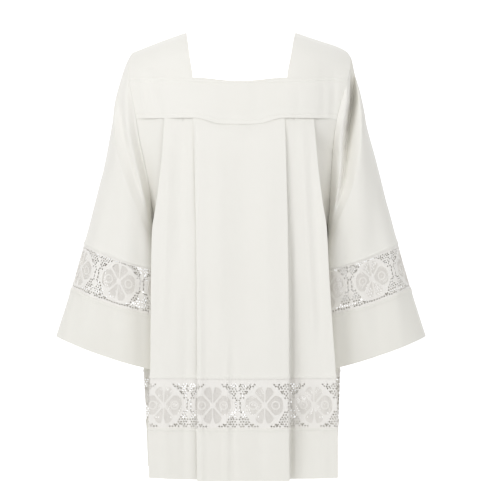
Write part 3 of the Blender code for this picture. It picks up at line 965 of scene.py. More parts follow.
def dress(piece: bpy.types.Object, material: bpy.types.Material, slot: str, *nodes: str) -> None:
    """Finishes a piece, and says what it rides on and stands for.

    Args:
        piece: The piece.
        material: Its finish.
        slot: Not used.
        nodes: The solids that it stands for.
    """
    piece.data.materials.clear()
    piece.data.materials.append(material)
    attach(piece, BODY)
    if nodes:
        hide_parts(*nodes)
    LOG.info("%s: %d faces", piece.name, len(piece.data.polygons))


def declare(piece: bpy.types.Object, surface: Surface, held: str, *with_pieces: bpy.types.Object) -> None:
    """Works out the width, length and area that a sheet's surface has when it is laid flat.

    Args:
        piece: Not used.
        surface: Its surface.
        held: Not used.
        with_pieces: Not used.
    """
    wide, long, area = surface.size()


def turned_edge(inside: np.ndarray) -> np.ndarray:
    """How far crepe stands off along a turned edge that holds the lace, by distances in from it."""
    return LAP_RISE * np.interp(inside, *LAP_PROFILE)[:, None]


# --- topstitching ---

STITCH_FACES = (  # ends 0 and 1, sides 2 and 3, top 4 and foot 5
    *((0, 4, 2), (2, 4, 1), (1, 4, 3), (3, 4, 0)),
    *((2, 5, 0), (1, 5, 2), (3, 5, 1), (0, 5, 3)),
)


@dataclass(frozen=True)
class Topstitch:
    """A row of small stitches laid on the cloth."""

    length: float = 0.0021
    gap: float = 0.0011
    width: float = 0.00045
    rise: float = 0.00025

    def mesh(self, name: str, lines: Sequence[tuple[np.ndarray, np.ndarray]]) -> bpy.types.Object:
        """Makes the stitches along several lines as one piece.

        Args:
            name: The piece's name.
            lines: Each line's points, and the cloth's outward direction at each.

        Returns:
            The new object.
        """
        points, faces = [], []
        for line, outward in lines:
            along = running(line, 0)
            count = max(1, int(along[-1] / (self.length + self.gap)))
            starts = np.arange(count) * along[-1] / count

            def read(places: np.ndarray, table: np.ndarray) -> np.ndarray:
                """A table's rows at places along the line."""
                return np.stack([np.interp(places, along, column) for column in table.T], axis=1)

            start, end, up = read(starts, line), read(starts + self.length, line), read(starts, outward)
            beside = np.cross(up, unit(end - start)) * self.width / 2
            for a, b, s, u in zip(start, end, beside, up * self.rise):
                base, m = len(points), (a + b) / 2
                points += [a, b, m + s, m - s, m + u, m - u]
                faces += [tuple(base + corner for corner in face) for face in STITCH_FACES]
        return new_object(name, np.array(points), faces, None)


def line_on(surface: Surface, across: np.ndarray, down: np.ndarray, lift: float) -> tuple:
    """A line on a surface, lifted off it.

    Args:
        surface: The cloth.
        across: The line's places along the rows.
        down: Its places down the columns.
        lift: How far it stands off the cloth's middle.

    Returns:
        Its points, and the outward direction at each.
    """
    beside = surface.at(across + STEP, down) - surface.at(across - STEP, down)
    below = surface.at(across, down + STEP) - surface.at(across, down - STEP)
    outward = unit(np.cross(below, beside))
    return surface.at(across, down) + outward * lift, outward


# --- the lace ---
LEAST_SHARE = 0.1  # how near to a cell's corner an edge may be cut

Borders = list[tuple[float, int]]


@dataclass(frozen=True)
class Template:
    """Half of a repeat as polygons: 0 across is its centre line, and 1 its border."""

    points: np.ndarray
    polygons: list[list[int]]

    @classmethod
    def cut(
        cls,
        inside: Callable[[np.ndarray, np.ndarray], np.ndarray],
        half: tuple[float, float],
        cells: tuple[int, int],
    ) -> "Template":
        """Cuts polygons where a function is above 0.

        Args:
            inside: Takes places across and up from the repeat's middle.
            half: Half the repeat's width and half its height.
            cells: How many cells across the half, and up the repeat.

        Returns:
            The template.
        """
        us = np.linspace(0, half[0], cells[0] + 1)
        vs = np.linspace(-half[1], half[1], cells[1] + 1)
        value = inside(*np.meshgrid(us, vs))
        points, numbers, polygons = [], {}, []

        def number(key: tuple, u: float, v: float) -> int:
            """The number of a point, which is new where its key is."""
            if key not in numbers:
                numbers[key] = len(points)
                points.append((u / half[0], v))
            return numbers[key]

        for row in range(cells[1]):
            for column in range(cells[0]):
                around = ((row, column), (row, column + 1), (row + 1, column + 1), (row + 1, column))
                polygon = []
                for start, end in zip(around, (*around[1:], around[0])):
                    here, there = value[start], value[end]
                    u, v = us[start[1]], vs[start[0]]
                    if here > 0:
                        polygon.append(number(start, u, v))
                    if (here > 0) != (there > 0):
                        share = min(max(here / (here - there), LEAST_SHARE), 1 - LEAST_SHARE)
                        u += (us[end[1]] - u) * share
                        v += (vs[end[0]] - v) * share
                        polygon.append(number(tuple(sorted((start, end))), u, v))
                if len(polygon) >= 3:
                    polygons.append(polygon)
        return cls(np.array(points), polygons)


@dataclass(frozen=True)
class LaceRepeat:
    """The lace's repeat: a star with lobes of net in a roundel, on a ground of eyelets."""

    half_width: float = 0.0525
    half_height: float = 0.0540
    columns: int = 33
    rows: int = 68
    plain_head: float = 0.0120  # cloth without holes along the upper edge, with what is sewn in
    plain_foot: float = 0.0050
    roundel: float = 0.0392  # middle of the roundel's ring
    roundel_half: float = 0.0015
    hub: float = 0.0058
    arm_turn: float = math.radians(41)  # from the upright to each crossing arm
    arm_half: float = 0.0018
    arm_flare: float = 0.0008
    stem_half: float = 0.0013
    stem_flare: float = 0.0046
    flare_start: float = 0.58  # the share of the roundel past which the stem widens
    flare_power: float = 1.6
    lobe: tuple[float, float, float] = (0.0220, 0.0192, 0.0172)  # place, half width, half height
    side_lobe: tuple[float, float, float] = (0.0222, 0.0170, 0.0196)
    net_lap: float = 0.0009  # how far the net reaches past its lobes
    ring_place: float = 0.0226
    ring: float = 0.0078
    ring_half: float = 0.0014
    eyelet: float = 0.0019
    eyelet_step: float = 0.0055
    eyelet_rise: float = 0.87  # from row to row, in steps
    eyelet_stray: float = 0.0008  # how far an eyelet stands from its even place
    eyelet_clear: float = 0.0006  # the least thread round it
    roundel_clear: float = 0.0001  # and between it and the roundel
    slot: tuple[float, float, float, float] = (0.0043, 0.0042, 0.0013, 0.0030)  # in, up, half sizes
    seed: int = 5

    def centred(self, v: np.ndarray) -> np.ndarray:
        """Heights above the roundel's centre."""
        return v + (self.plain_head - self.plain_foot) / 2

    @property
    def open_half(self) -> float:
        """Half the height of the open work."""
        return self.half_height - (self.plain_head + self.plain_foot) / 2

    def lobes(self, u: np.ndarray, v: np.ndarray) -> np.ndarray:
        """The four lobes of net in the roundel.

        Args:
            u: Places across from the roundel's centre.
            v: Places up from the roundel's centre.

        Returns:
            Metres, above 0 in a lobe and below 0 outside.
        """
        place, wide, high = self.lobe
        upright = (1 - np.hypot(u / wide, (np.abs(v) - place) / high)) * wide
        place, wide, high = self.side_lobe
        beside = (1 - np.hypot((np.abs(u) - place) / wide, v / high)) * high
        return np.maximum(upright, beside)

    def thread(self, u: np.ndarray, v: np.ndarray) -> np.ndarray:
        """How far inside the worked thread each place is.

        Args:
            u: Places across from the roundel's centre.
            v: Places up from the middle of the repeat.

        Returns:
            Metres, above 0 in the thread and below 0 in a hole.
        """
        v = self.centred(v)
        radius, turn = np.hypot(u, v), np.arctan2(np.abs(u), np.abs(v))
        share = radius / self.roundel
        flare = np.clip((share - self.flare_start) / (1 - self.flare_start), 0, 1)
        ring_gap = np.hypot(np.abs(u) - self.ring_place, v)
        star = (
            -self.lobes(u, v),
            self.arm_half + self.arm_flare * share - radius * np.sin(np.abs(turn - self.arm_turn)),
            self.stem_half + self.stem_flare * flare**self.flare_power - np.abs(u),
            self.ring_half - np.abs(ring_gap - self.ring),
            self.ring_half - ring_gap,
            self.hub - radius,
        )
        worked = np.where(share < 1, np.max(star, axis=0), self.ground(u, v))
        roundel = self.roundel_half - np.abs(radius - self.roundel)
        return np.max([worked, roundel, np.abs(v) - self.open_half], axis=0)

    def ground(self, u: np.ndarray, v: np.ndarray) -> np.ndarray:
        """The ground outside the roundel: eyelets, and a ladder where roundels meet.

        Args:
            u: Places across from the roundel's centre.
            v: Places up from the roundel's centre.

        Returns:
            Metres, above 0 in the thread and below 0 in a hole.
        """
        inwards, up, slot_wide, slot_high = self.slot
        beside = np.abs(u - self.half_width + inwards) - slot_wide
        nearest = np.maximum(beside, np.abs(np.abs(v) - up) - slot_high)
        stray = np.random.default_rng(self.seed)
        rise = self.eyelet_rise * self.eyelet_step
        rows = math.ceil(self.half_height / rise)
        columns = math.ceil(self.half_width / self.eyelet_step)
        clear = self.eyelet + self.eyelet_clear
        ring = self.roundel + self.roundel_half + self.eyelet + self.roundel_clear
        for row in range(-rows, rows + 1):
            for column in range(columns + 1):
                across, height = stray.uniform(-self.eyelet_stray, self.eyelet_stray, 2)
                across += (column + row % 2 / 2) * self.eyelet_step
                height += row * rise
                on_net = abs(height) < self.open_half - clear and across < self.half_width - clear
                outside = math.hypot(across, height) > ring
                if on_net and outside and abs(height) > up + slot_high + clear:
                    nearest = np.minimum(nearest, np.hypot(u - across, v - height) - self.eyelet)
        return nearest

    def templates(self) -> tuple[Template, Template]:
        """Cuts half of the repeat.

        Returns:
            Its worked thread, and the net in the roundel's lobes.
        """
        half = (self.half_width, self.half_height)
        thread = Template.cut(self.thread, half, (self.columns, self.rows))
        coarse = (self.columns // 2, self.rows // 2)
        return thread, Template.cut(lambda u, v: self.lobes(u, self.centred(v)) + self.net_lap, half, coarse)


@dataclass
class LaceBand:
    """Lace worked on net, along a band of a cloth surface."""

    repeat: LaceRepeat
    thread: Template = field(init=False)
    gauze: Template = field(init=False)

    def __post_init__(self) -> None:
        """Works the repeat out once."""
        self.thread, self.gauze = self.repeat.templates()

    def laid(
        self, name: str, surface: Surface, borders: Borders, template: Template
    ) -> bpy.types.Object:
        """Lays half repeats side by side on a surface.

        Args:
            name: The piece's name.
            surface: The band, from the lace's top row to its foot.
            borders: Places along the band, each with 1 where the half repeat after it starts at a
                roundel's centre and -1 where it starts at a border.
            template: The half repeat.

        Returns:
            The new object, an open sheet.
        """
        middle_row = surface.middle_row()
        start_at, around = middle_row[0], middle_row[-1] - middle_row[0]
        height = 2 * self.repeat.half_height
        fall = (self.repeat.half_height - template.points[:, 1]) / height
        down = surface.down[0] + (surface.down[-1] - surface.down[0]) * fall
        points, faces, uvs = [], [], []
        for (start, run), (end, _) in zip(borders, borders[1:]):
            share = template.points[:, 0] if run > 0 else 1 - template.points[:, 0]
            along = start + (end - start) * share
            base = len(template.points) * len(points)
            place = start_at + (along - start_at) % around if surface.closed else along
            points.append(surface.at(np.interp(place, middle_row, surface.across), down))
            uvs.append(np.stack([along, -fall * height], axis=1))
            faces += [[base + corner for corner in polygon[::run]] for polygon in template.polygons]
        piece = new_object(name, np.concatenate(points), faces, np.concatenate(uvs))
        merge(piece, 2 * SAME_POINT, face_out=True)
        return piece

    def lay(self, word: str, surface: Surface, borders: Borders) -> tuple:
        """Lays the lace along a band.

        Args:
            word: The band's place in the pieces' names.
            surface: The band.
            borders: Where the half repeats meet, as for laid.

        Returns:
            The worked thread, the area that it covers when it is laid flat, and the net behind it.
        """
        worked = self.laid(f"lace_{word}", surface, borders, self.thread)
        area = sum(polygon.area for polygon in worked.data.polygons)
        thicken(worked, THREAD_WALL)
        return worked, area, self.laid(f"net_{word}", surface.moved_out(-NET_DROP), borders, self.gauze)


# --- the garment's parts ---


def lean_at(z: np.ndarray) -> np.ndarray:
    """How far the garment leans to the wearer's left at each height."""
    return LEAN * np.exp(-(((z - LEAN_Z) / LEAN_SPREAD) ** 2))


def armhole(station: np.ndarray, hand: Hand) -> np.ndarray:
    """Points of an armhole seam as (x, depth, z), mirrored to the left where it is the right one.

    Args:
        station: Places along it, from the shoulder's end at 0 to the underarm.
        hand: Which armhole.

    Returns:
        One row for each place.
    """
    read = eased(station, np.arange(len(ARMHOLE)), ARMHOLE)
    z, x = read[:, 0], read[:, 1]
    middle = (ARMHOLE[0].z + UNDERARM_Z) / 2
    share = np.clip((z - middle) / (ARMHOLE[0].z - middle), -1, 1)
    depth = ARMHOLE_DEPTH * np.sqrt(1 - share * share) - np.interp(station, *ARMHOLE_SUNK[hand])
    return np.stack([x + hand.sign * lean_at(z), depth, z], axis=1)


def yoke_foot(side: Side, hand: Hand, x: np.ndarray) -> np.ndarray:
    """How deep the yoke's foot stands at places on one half of it.

    Args:
        side: The front or the back.
        hand: Which half.
        x: Distances from the centre line.

    Returns:
        The depths.
    """
    row = YOKE_ROWS[side][YOKE_STATION]
    arm = armhole(np.array([YOKE_STATION]), hand)[0]
    inside = np.clip(x / row.neck_x, 0, 1)
    beyond = np.clip((x - row.neck_x) / (arm[0] - row.neck_x), 0, 1)
    middle = row.centre_depth + (row.neck_depth - row.centre_depth) * inside**2
    return middle + (arm[1] - row.neck_depth) * beyond**STRAP_DEPTH_POWER


@dataclass
class LacedPart:
    """A part with lace and a plain band below its cloth, as the body's panels and sleeves are."""

    finishes: Finishes

    def borders(self, band: Surface, repeat: LaceRepeat) -> Borders:
        """Where the half repeats meet along the lace.

        Args:
            band: The lace's surface.
            repeat: The lace's repeat.

        Returns:
            For each place along it, its length and the way that the half repeat after it runs.
        """
        raise NotImplementedError

    def sewn_in(self, cloth: Surface) -> Surface:
        """The cloth with what is sewn in above it."""
        return cloth

    def dressed(
        self,
        words: tuple[str, str],
        nodes: Sequence[str],
        whole: Surface,
        cuts: Sequence[float],
        held: str,
        lace: LaceBand,
    ) -> None:
        """Makes the cloth, the plain band, the lace with its net, and their stitching.

        Args:
            words: The names of the cloth's node and the band's node.
            nodes: The names of the lace's nodes.
            whole: The surface of it all.
            cuts: Where the cloth starts, the lace starts and ends, and the plain band ends.
            held: How it is held.
            lace: The lace.
        """
        start, lace_top, lace_foot, end = cuts
        upper = whole.rows(start, lace_top, LAP_ROWS)
        upper = self.sewn_in(upper.moved_out(turned_edge(lace_top - upper.down)))
        cloth = sheet_object(f"crepe_{words[0]}", upper, CREPE_WALL)
        dress(cloth, self.finishes.crepe, "crepe", words[0])
        lower = whole.rows(lace_foot, end, LAP_ROWS)
        lower = lower.moved_out(turned_edge(lower.down - lace_foot))
        plain = sheet_object(f"crepe_{words[1]}", lower, CREPE_WALL * BAND_PLY)
        dress(plain, self.finishes.hem, "hem_crepe", words[1])
        band = whole.rows(lace_top - LAP, lace_foot + LAP)
        borders = self.borders(band, lace.repeat)
        worked, area, net = lace.lay(words[0], band, borders)
        dress(worked, self.finishes.lace, "lace", *nodes)
        dress(net, self.finishes.net, "lace")
        lift = CREPE_WALL / 2 + STITCH_LIFT
        lines = [
            line_on(surface, whole.across, np.full(len(whole.across), place), rise)
            for surface, place, rise in (
                (upper, lace_top - STITCH_IN, lift),
                (lower, lace_foot + STITCH_IN, lift * BAND_PLY),
            )
        ]
        stitches = Topstitch().mesh(f"stitching_{words[0]}", lines)
        dress(stitches, self.finishes.thread, "crepe")
        declare(cloth, upper, held, stitches)
        declare(plain, lower, held)


@dataclass
class PleatedBody(LacedPart):
    """A body panel with its lace and hem: a box pleat, and a pleat beside each armhole."""

    side: Side
    rows_per_station: int = 6
    row_step: float = 0.0096

    def station_grid(self) -> np.ndarray:
        """The stations of the panel's columns.

        Returns:
            One for each column, from the right side seam to the left one.
        """
        half = [0.0]
        for index, span in enumerate(SPANS):
            share = np.linspace(0, 1, span.pieces + 1)[1:]
            if span.finer_start and span.finer_end:
                share = (1 - np.cos(share * math.pi)) / 2
            elif span.finer_end:
                share = np.sin(share * math.pi / 2)
            elif span.finer_start:
                share = 1 - np.cos(share * math.pi / 2)
            half += list(index + share)
        half = np.array(half)
        return np.concatenate((-half[:0:-1], half))

    def heights(self) -> tuple[np.ndarray, np.ndarray]:
        """The heights of the panel's rows.

        Returns:
            One for each row, and the armhole's station at each row that it reaches.
        """
        steps = (UNDERARM_STATION - YOKE_STATION) * self.rows_per_station
        stations = np.linspace(YOKE_STATION, UNDERARM_STATION, steps + 1)
        below = int(round((UNDERARM_Z - HEM_Z) / self.row_step))
        lower = np.linspace(UNDERARM_Z, HEM_Z, below + 1)[1:]
        return np.concatenate((armhole(stations, Hand.LEFT)[:, 2], lower)), stations

    def stations(self, z: np.ndarray, hand: Hand) -> np.ndarray:
        """The stations of one half of the panel at each height.

        Args:
            z: The heights.
            hand: Which half.

        Returns:
            For each height, each station's (x, depth).
        """
        level = Level(*eased(-z, [-height for height in LEVEL_HEIGHTS], LEVELS[self.side]).T)
        opened = level.open_left if hand is Hand.LEFT else level.open_right

        def depth(x: np.ndarray) -> np.ndarray:
            """The depth between the box pleat's edge and the side pleat's."""
            share = np.clip((x - BOX_HALF) / (level.edge_x - BOX_HALF), 0, 1)
            return level.box + (level.edge - level.box) * share

        layer = PRESSED[hand]
        inner = level.box - layer - INNER_FALL * opened
        middle_x = (BOX_HALF + level.edge_x) / 2
        tuck = depth(level.tuck_x) - TUCK_LAYERS * layer
        flat = np.full_like(z, BOX_HALF)
        pairs = (
            (0 * z, level.centre),
            (flat / 2, level.centre * BOX_BELLY + level.box * (1 - BOX_BELLY)),
            (flat, level.box),
            (flat - FOLD_TURN, level.box - layer),
            (flat / 2, inner),
            (flat / 2, inner - layer),
            (flat + BOX_GAP, level.box - 2 * layer - opened),
            (middle_x, depth(middle_x) - layer - MIDDLE_FALL * opened),
            (level.edge_x, level.edge),
            (level.edge_x - FOLD_TURN, level.edge - layer),
            (level.tuck_x, tuck),
            (level.tuck_x, tuck - layer),
            (level.web_x, level.web + np.interp(-z, *WEB_RISE[hand])),
            (level.seam_x, SEAM_DEPTH + 0 * z),
        )
        grid = np.array(pairs).transpose(2, 0, 1)
        sewn = yoke_foot(self.side, hand, grid[:, :, 0]) - PLY * np.array(SEAM_PLY)
        share = np.clip(1 - (YOKE_SEAM_Z - z) / SEWN_REACH, 0, 1)[:, None] ** SEWN_POWER
        share = share * (np.arange(SEAM + 1) < SEAM)
        grid[:, :, 1] = grid[:, :, 1] * (1 - share) + sewn * share
        grid[:, :, 0] = hand.sign * grid[:, :, 0] + np.outer(level.sway, SWAY_SHARE)
        grid[:, :BOX_STATIONS, 0] += np.interp(-z, *BOX_SWAY)[:, None]
        return grid

    def shaped(self) -> Surface:
        """Shapes the whole panel.

        Returns:
            Its surface, from the yoke seam to the hem.
        """
        across = self.station_grid()
        z, arm_stations = self.heights()
        halves = {}
        for hand in Hand:
            arm = armhole(arm_stations, hand)
            grid = self.stations(z, hand)
            grid[: len(arm), SEAM, 0] = hand.sign * arm[:, 0]
            grid[: len(arm), SEAM, 1] = np.maximum(arm[:, 1], SEAM_DEPTH)
            halves[hand] = grid
        joined = np.concatenate((halves[Hand.RIGHT][:, :0:-1], halves[Hand.LEFT]), axis=1)
        low = np.clip(np.floor(across + SEAM).astype(int), 0, 2 * SEAM - 1)
        share = (across + SEAM - low)[None, :, None]
        grid = joined[:, low] * (1 - share) + joined[:, low + 1] * share
        nearest = np.abs(np.abs(across)[:, None] - np.array(FOLD_STATIONS)).min(axis=1)
        soft = np.clip(nearest * FOLD_HOLD, 0, 1)[None, :, None]
        for turn in range(RELAX_TURNS):
            pull = (grid[:, :-2] + grid[:, 2:]) / 2 - grid[:, 1:-1]
            grid[:, 1:-1] += pull * (0.5 if turn < RELAX_ALL else 0.5 * soft[:, 1:-1])
        x, depth = grid[..., 0], grid[..., 1]
        height = np.repeat(z[:, None], len(across), axis=1)
        u = np.abs(across)
        dip = YOKE_DIP * np.cos(np.interp(u, *DIP_STATIONS) * math.pi / 2) ** 2
        height = height - dip * np.clip(1 - (YOKE_SEAM_Z - height) / DIP_REACH, 0, 1)
        rise = np.interp(u, np.arange(SEAM + 1), HEM_RISE)
        height = height + rise * np.clip((LACE_FOOT_Z - height) / (LACE_FOOT_Z - HEM_Z), 0, 1)
        depth = depth + np.clip(SEAM - u, 0, 1) * relief(BODY_CREASES[self.side], x, height)
        surface = Surface(across, -z, np.stack([x, self.side.sign * depth, height], axis=2))
        return surface if self.side is Side.FRONT else surface.turned()

    def sewn_in(self, cloth: Surface) -> Surface:
        """Tucks the head of the panel up inside the yoke.

        Args:
            cloth: The panel down to its lace.

        Returns:
            The panel with what is sewn in.
        """
        tucked = cloth.points[:1] + (0, -self.side.sign * TUCK_BACK, TUCK)
        down = np.concatenate(([cloth.down[0] - TUCK], cloth.down))
        return Surface(cloth.across, down, np.concatenate((tucked, cloth.points)))

    def build(self, lace: LaceBand) -> None:
        """Makes the panel, its lace and net, its hem and their stitching.

        Args:
            lace: The lace to lay round the body.
        """
        word = self.side.word
        cuts = (-YOKE_SEAM_Z + SEAM_CLEAR, -LACE_TOP_Z, -LACE_FOOT_Z, -HEM_Z)
        words = (f"body_{word}", f"hem_{word}")
        self.dressed(words, [f"body_lace_{word}"], self.shaped(), cuts, "gathered", lace)

    def borders(self, band: Surface, repeat: LaceRepeat) -> Borders:
        """Where the half repeats meet along the folded band.

        Args:
            band: The lace's surface.
            repeat: The lace's repeat.

        Returns:
            Their places, as for LacedPart.
        """
        flat, x = band.middle_row(), band.points[len(band.down) // 2, :, 0]
        station = np.abs(band.across)
        borders = [(float(flat[0]), -1)]

        def fill(until: float) -> None:
            """Adds whole repeats up to a place."""
            start = borders[-1][0]
            count = round((until - start) / (2 * repeat.half_width))
            if count:
                borders.pop()
                for index, edge in enumerate(np.linspace(start, until, 2 * count + 1)):
                    borders.append((float(edge), -1 if index % 2 == 0 else 1))

        centres = []
        for place in ROUNDELS[self.side]:
            outer = station <= 2 if abs(place) < BOX_HALF else (station >= 6) & (station <= BOX_STATIONS)
            seen = outer & (x * place >= 0)
            order = np.argsort(x[seen])
            centres.append(float(np.interp(place, x[seen][order], flat[seen][order])))
        for centre in sorted(centres):
            fill(centre - repeat.half_width)
            borders += [(centre, 1), (centre + repeat.half_width, -1)]
        fill(flat[-1])
        borders[-1] = (float(flat[-1]), 0)
        return borders


@dataclass
class Yoke:
    """The front or the back of the square-necked yoke."""

    side: Side
    finishes: Finishes
    rows_per_station: int = 12
    strap_columns: int = 40
    centre_columns: int = 34
    stitched: tuple[float, ...] = (NECK_ROW + 0.075, NECK_ROW + 0.235, YOKE_STATION - 0.18)
    groove: float = 0.0005
    bulge: float = 2.2  # brings the shoulder's bulge up to its full height
    bulge_rows: float = 2  # how many rows down it ends
    crease_row: float = 1.5  # the creases are full one row below this one
    foot_start: float = 0.4  # how far above the seam the foot starts to stand off, in rows
    foot_fade: float = 0.3  # and how many rows that takes
    stitch_beside: float = 1.04  # the stitching beside the neck, across
    stitch_start: float = 0.05  # and where it starts, in rows
    beside_points: int = 50
    below_points: int = 60

    def shaped(self) -> Surface:
        """Shapes the yoke.

        Returns:
            Its surface: 0 across is its centre line, 1 its neck edge and 2 its armhole.
        """
        rows = YOKE_ROWS[self.side]
        even = np.linspace(0, YOKE_STATION, YOKE_STATION * self.rows_per_station + 1)
        station = np.unique(np.concatenate((even, [spot + step for spot in self.stitched for step in FINE])))
        row = YokeRow(*eased(station, np.arange(len(rows)), rows).T)
        sway = LEVELS[self.side][0].sway * station / YOKE_STATION
        centre = np.linspace(0, 1, self.centre_columns // 2 + 1)[:-1]
        half = np.concatenate((centre, 1 + np.linspace(0, 1, self.strap_columns + 1)))
        across = np.concatenate((-half[:0:-1], half))
        grid = np.zeros((len(station), len(across), 3))
        for column, place in enumerate(across):
            hand = Hand.LEFT if place >= 0 else Hand.RIGHT
            arm = armhole(station, hand)
            share = abs(place)
            if share < 1:
                bend = math.sin(share * math.pi / 2) ** 2
                low = math.sin(np.interp(2 * share, *DIP_STATIONS) * math.pi / 2) ** 2
                x = hand.sign * share * row.neck_x + sway
                depth = row.centre_depth + (row.neck_depth - row.centre_depth) * share**2
                bend = bend + (low - bend) * np.clip(station - NECK_ROW - 1, 0, 1)
                z = row.centre_z + (row.neck_z - row.centre_z) * bend
            else:
                t = share - 1
                x = hand.sign * (row.neck_x + (arm[:, 0] - row.neck_x) * t) + sway * (1 - t)
                depth = row.neck_depth + (arm[:, 1] - row.neck_depth) * t**STRAP_DEPTH_POWER
                z = row.neck_z + (arm[:, 2] - row.neck_z) * t**STRAP_DROP_POWER
                bulge = t**3 * (1 - t**4) * self.bulge
                z = z + SHOULDER_RISE[hand] * bulge * np.clip(1 - station / self.bulge_rows, 0, 1)
            push = relief(YOKE_CREASES[self.side], x, z) * np.clip(station - self.crease_row, 0, 1)
            grid[:, column] = np.stack([x, self.side.sign * (depth + push), z], axis=1)
        surface = Surface(across, station, grid)
        surface = surface if self.side is Side.FRONT else surface.turned()
        near_foot = np.clip((station - YOKE_STATION + self.foot_start) / self.foot_fade, 0, 1)
        rise = np.outer(near_foot, np.interp(surface.across, *YOKE_RISE))
        for spot in self.stitched:
            rise -= self.groove * np.exp(-(((station - spot) / FINE[-1]) ** 2))[:, None]
        return surface.moved_out(rise)

    def build(self) -> None:
        """Makes the yoke and its stitching."""
        surface = self.shaped()

        def cloth(across: float, down: float) -> bool:
            """Whether a place is outside the neck."""
            return abs(across) > 1 or down > NECK_ROW

        name = f"yoke_{self.side.word}"
        piece = sheet_object(f"crepe_{name}", surface, CREPE_WALL * YOKE_PLY, cloth)
        dress(piece, self.finishes.crepe, "crepe", name)
        below = np.linspace(-1, 1, self.below_points)
        beside = np.linspace(self.stitch_start, NECK_ROW, self.beside_points)
        places = [(surface.across, np.full(len(surface.across), self.stitched[-1]))]
        places += [(below, np.full(len(below), spot)) for spot in self.stitched[:-1]]
        for edge in (-self.stitch_beside, self.stitch_beside):
            places.append((np.full(len(beside), edge), beside))
        lift = CREPE_WALL * YOKE_PLY / 2 + STITCH_LIFT
        lines = [line_on(surface, across, down, lift) for across, down in places]
        stitches = Topstitch().mesh(f"stitching_{name}", lines)
        dress(stitches, self.finishes.thread, "crepe")
        wide, long, area = surface.size()


@dataclass
class Sleeve(LacedPart):
    """A set-in sleeve with its lace and cuff band."""

    hand: Hand
    row_step: float = 0.0075

    def control_ring(self, ring: SleeveRing, turn: np.ndarray) -> np.ndarray:
        """Points round one ring.

        Args:
            ring: The ring.
            turn: Angles round it; 0 is outermost, and the front comes first.

        Returns:
            The points, for the left sleeve.
        """
        outer = np.array((ring.out_x, 0, ring.out_z))
        inner = np.array((ring.in_x, 0, ring.in_z))
        side = np.abs(np.sin(turn))
        facing = np.where(turn <= math.pi, -1.0, 1.0)
        fold = FOLD_DEPTH[self.hand] * np.where(facing < 0, 1.0, BACK_FOLD_SHARE)
        points = (outer + inner) / 2 + np.outer(np.cos(turn), (outer - inner) / 2)
        points[:, 0] += ring.bow * side**2 + self.hand.sign * ring.lean * lean_at(points[:, 2])
        power = np.where(np.cos(turn) < 0, ring.inner_flat, ring.flat)
        full = 1 + FULLNESS[self.hand] * np.clip(-np.cos(turn), 0, 1) * (facing < 0)
        points[:, 1] = facing * (ring.depth * full * side**power - fold * ring.trough * side**3)
        points[:, 2] -= ring.sag * side**2
        return points

    def shaped(self) -> tuple[Surface, float, float]:
        """Shapes the whole sleeve.

        Returns:
            Its surface down to the cuff, and where its lace starts and ends.
        """
        turn = np.linspace(0, 2 * math.pi, SLEEVE_COLUMNS + 1)
        across = turn / math.pi * UNDERARM_STATION
        head = armhole(np.minimum(across, 2 * UNDERARM_STATION - across), self.hand)
        head[:, 1] *= np.where(turn <= math.pi, -1.0, 1.0)
        rings = [head] + [self.control_ring(ring, turn) for ring in SLEEVE_RINGS]
        down = running(np.array([ring[0] for ring in rings]), 0)
        fine = down[SLEEVE_FINE_RING]
        far = np.arange(fine + self.row_step, down[-1] - self.row_step / 2, self.row_step)
        places = np.concatenate((np.linspace(0, fine, SLEEVE_FINE_ROWS), far, [down[-1]]))
        grid = eased(places, down, rings)
        grid[..., 0] *= self.hand.sign
        push = np.zeros(grid.shape[:2])
        for side in Side:
            on_side = (grid[..., 1] * side.sign > 0) * np.clip(np.abs(grid[..., 1]) / EDGE_FADE, 0, 1)
            push += on_side * relief(SLEEVE_CREASES[self.hand, side], grid[..., 0], grid[..., 2])
        push *= np.clip(places / CREASE_START, 0, 1)[:, None]
        folded = fold_push(SLEEVE_FOLDS[self.hand], self.hand.sign * grid[..., 0], grid[..., 2])
        folded *= np.clip(places / FOLD_START, 0, 1)[:, None]
        grid[..., 1] += np.minimum(folded, np.clip(-grid[..., 1], 0, None) * FOLD_LIMIT)
        if self.hand is Hand.LEFT:
            grid, push = grid[:, ::-1], push[:, ::-1]
        surface = Surface(across, places, grid, closed=True).moved_out(push)
        return surface, down[LACE_TOP_RING + 1] - SLEEVE_LACE_RISE, down[LACE_FOOT_RING + 1]

    def borders(self, band: Surface, repeat: LaceRepeat) -> Borders:
        """Where the half repeats meet round the sleeve.

        Args:
            band: The lace's surface.
            repeat: The lace's repeat.

        Returns:
            Their places, as for LacedPart.
        """
        flat = band.middle_row()
        middle = float(np.interp(UNDERARM_STATION / 2, band.across, flat)) + ROUNDEL_SHIFT[self.hand]
        places = middle + np.linspace(0, flat[-1] - flat[0], 2 * SLEEVE_REPEATS + 1)
        return [(float(place), 1 if index % 2 == 0 else -1) for index, place in enumerate(places)]

    def build(self, lace: LaceBand) -> None:
        """Makes the sleeve, its lace and net, its cuff and their stitching.

        Args:
            lace: The lace to lay round the sleeve.
        """
        word = self.hand.word
        whole, lace_top, lace_foot = self.shaped()
        nodes = [f"sleeve_lace_{word}_{side.word}" for side in Side]
        cuts = (ROW_CLEAR, lace_top, lace_foot, whole.down[-1])
        self.dressed((f"sleeve_{word}", f"cuff_{word}"), nodes, whole, cuts, "hung", lace)


# --- the studio ---


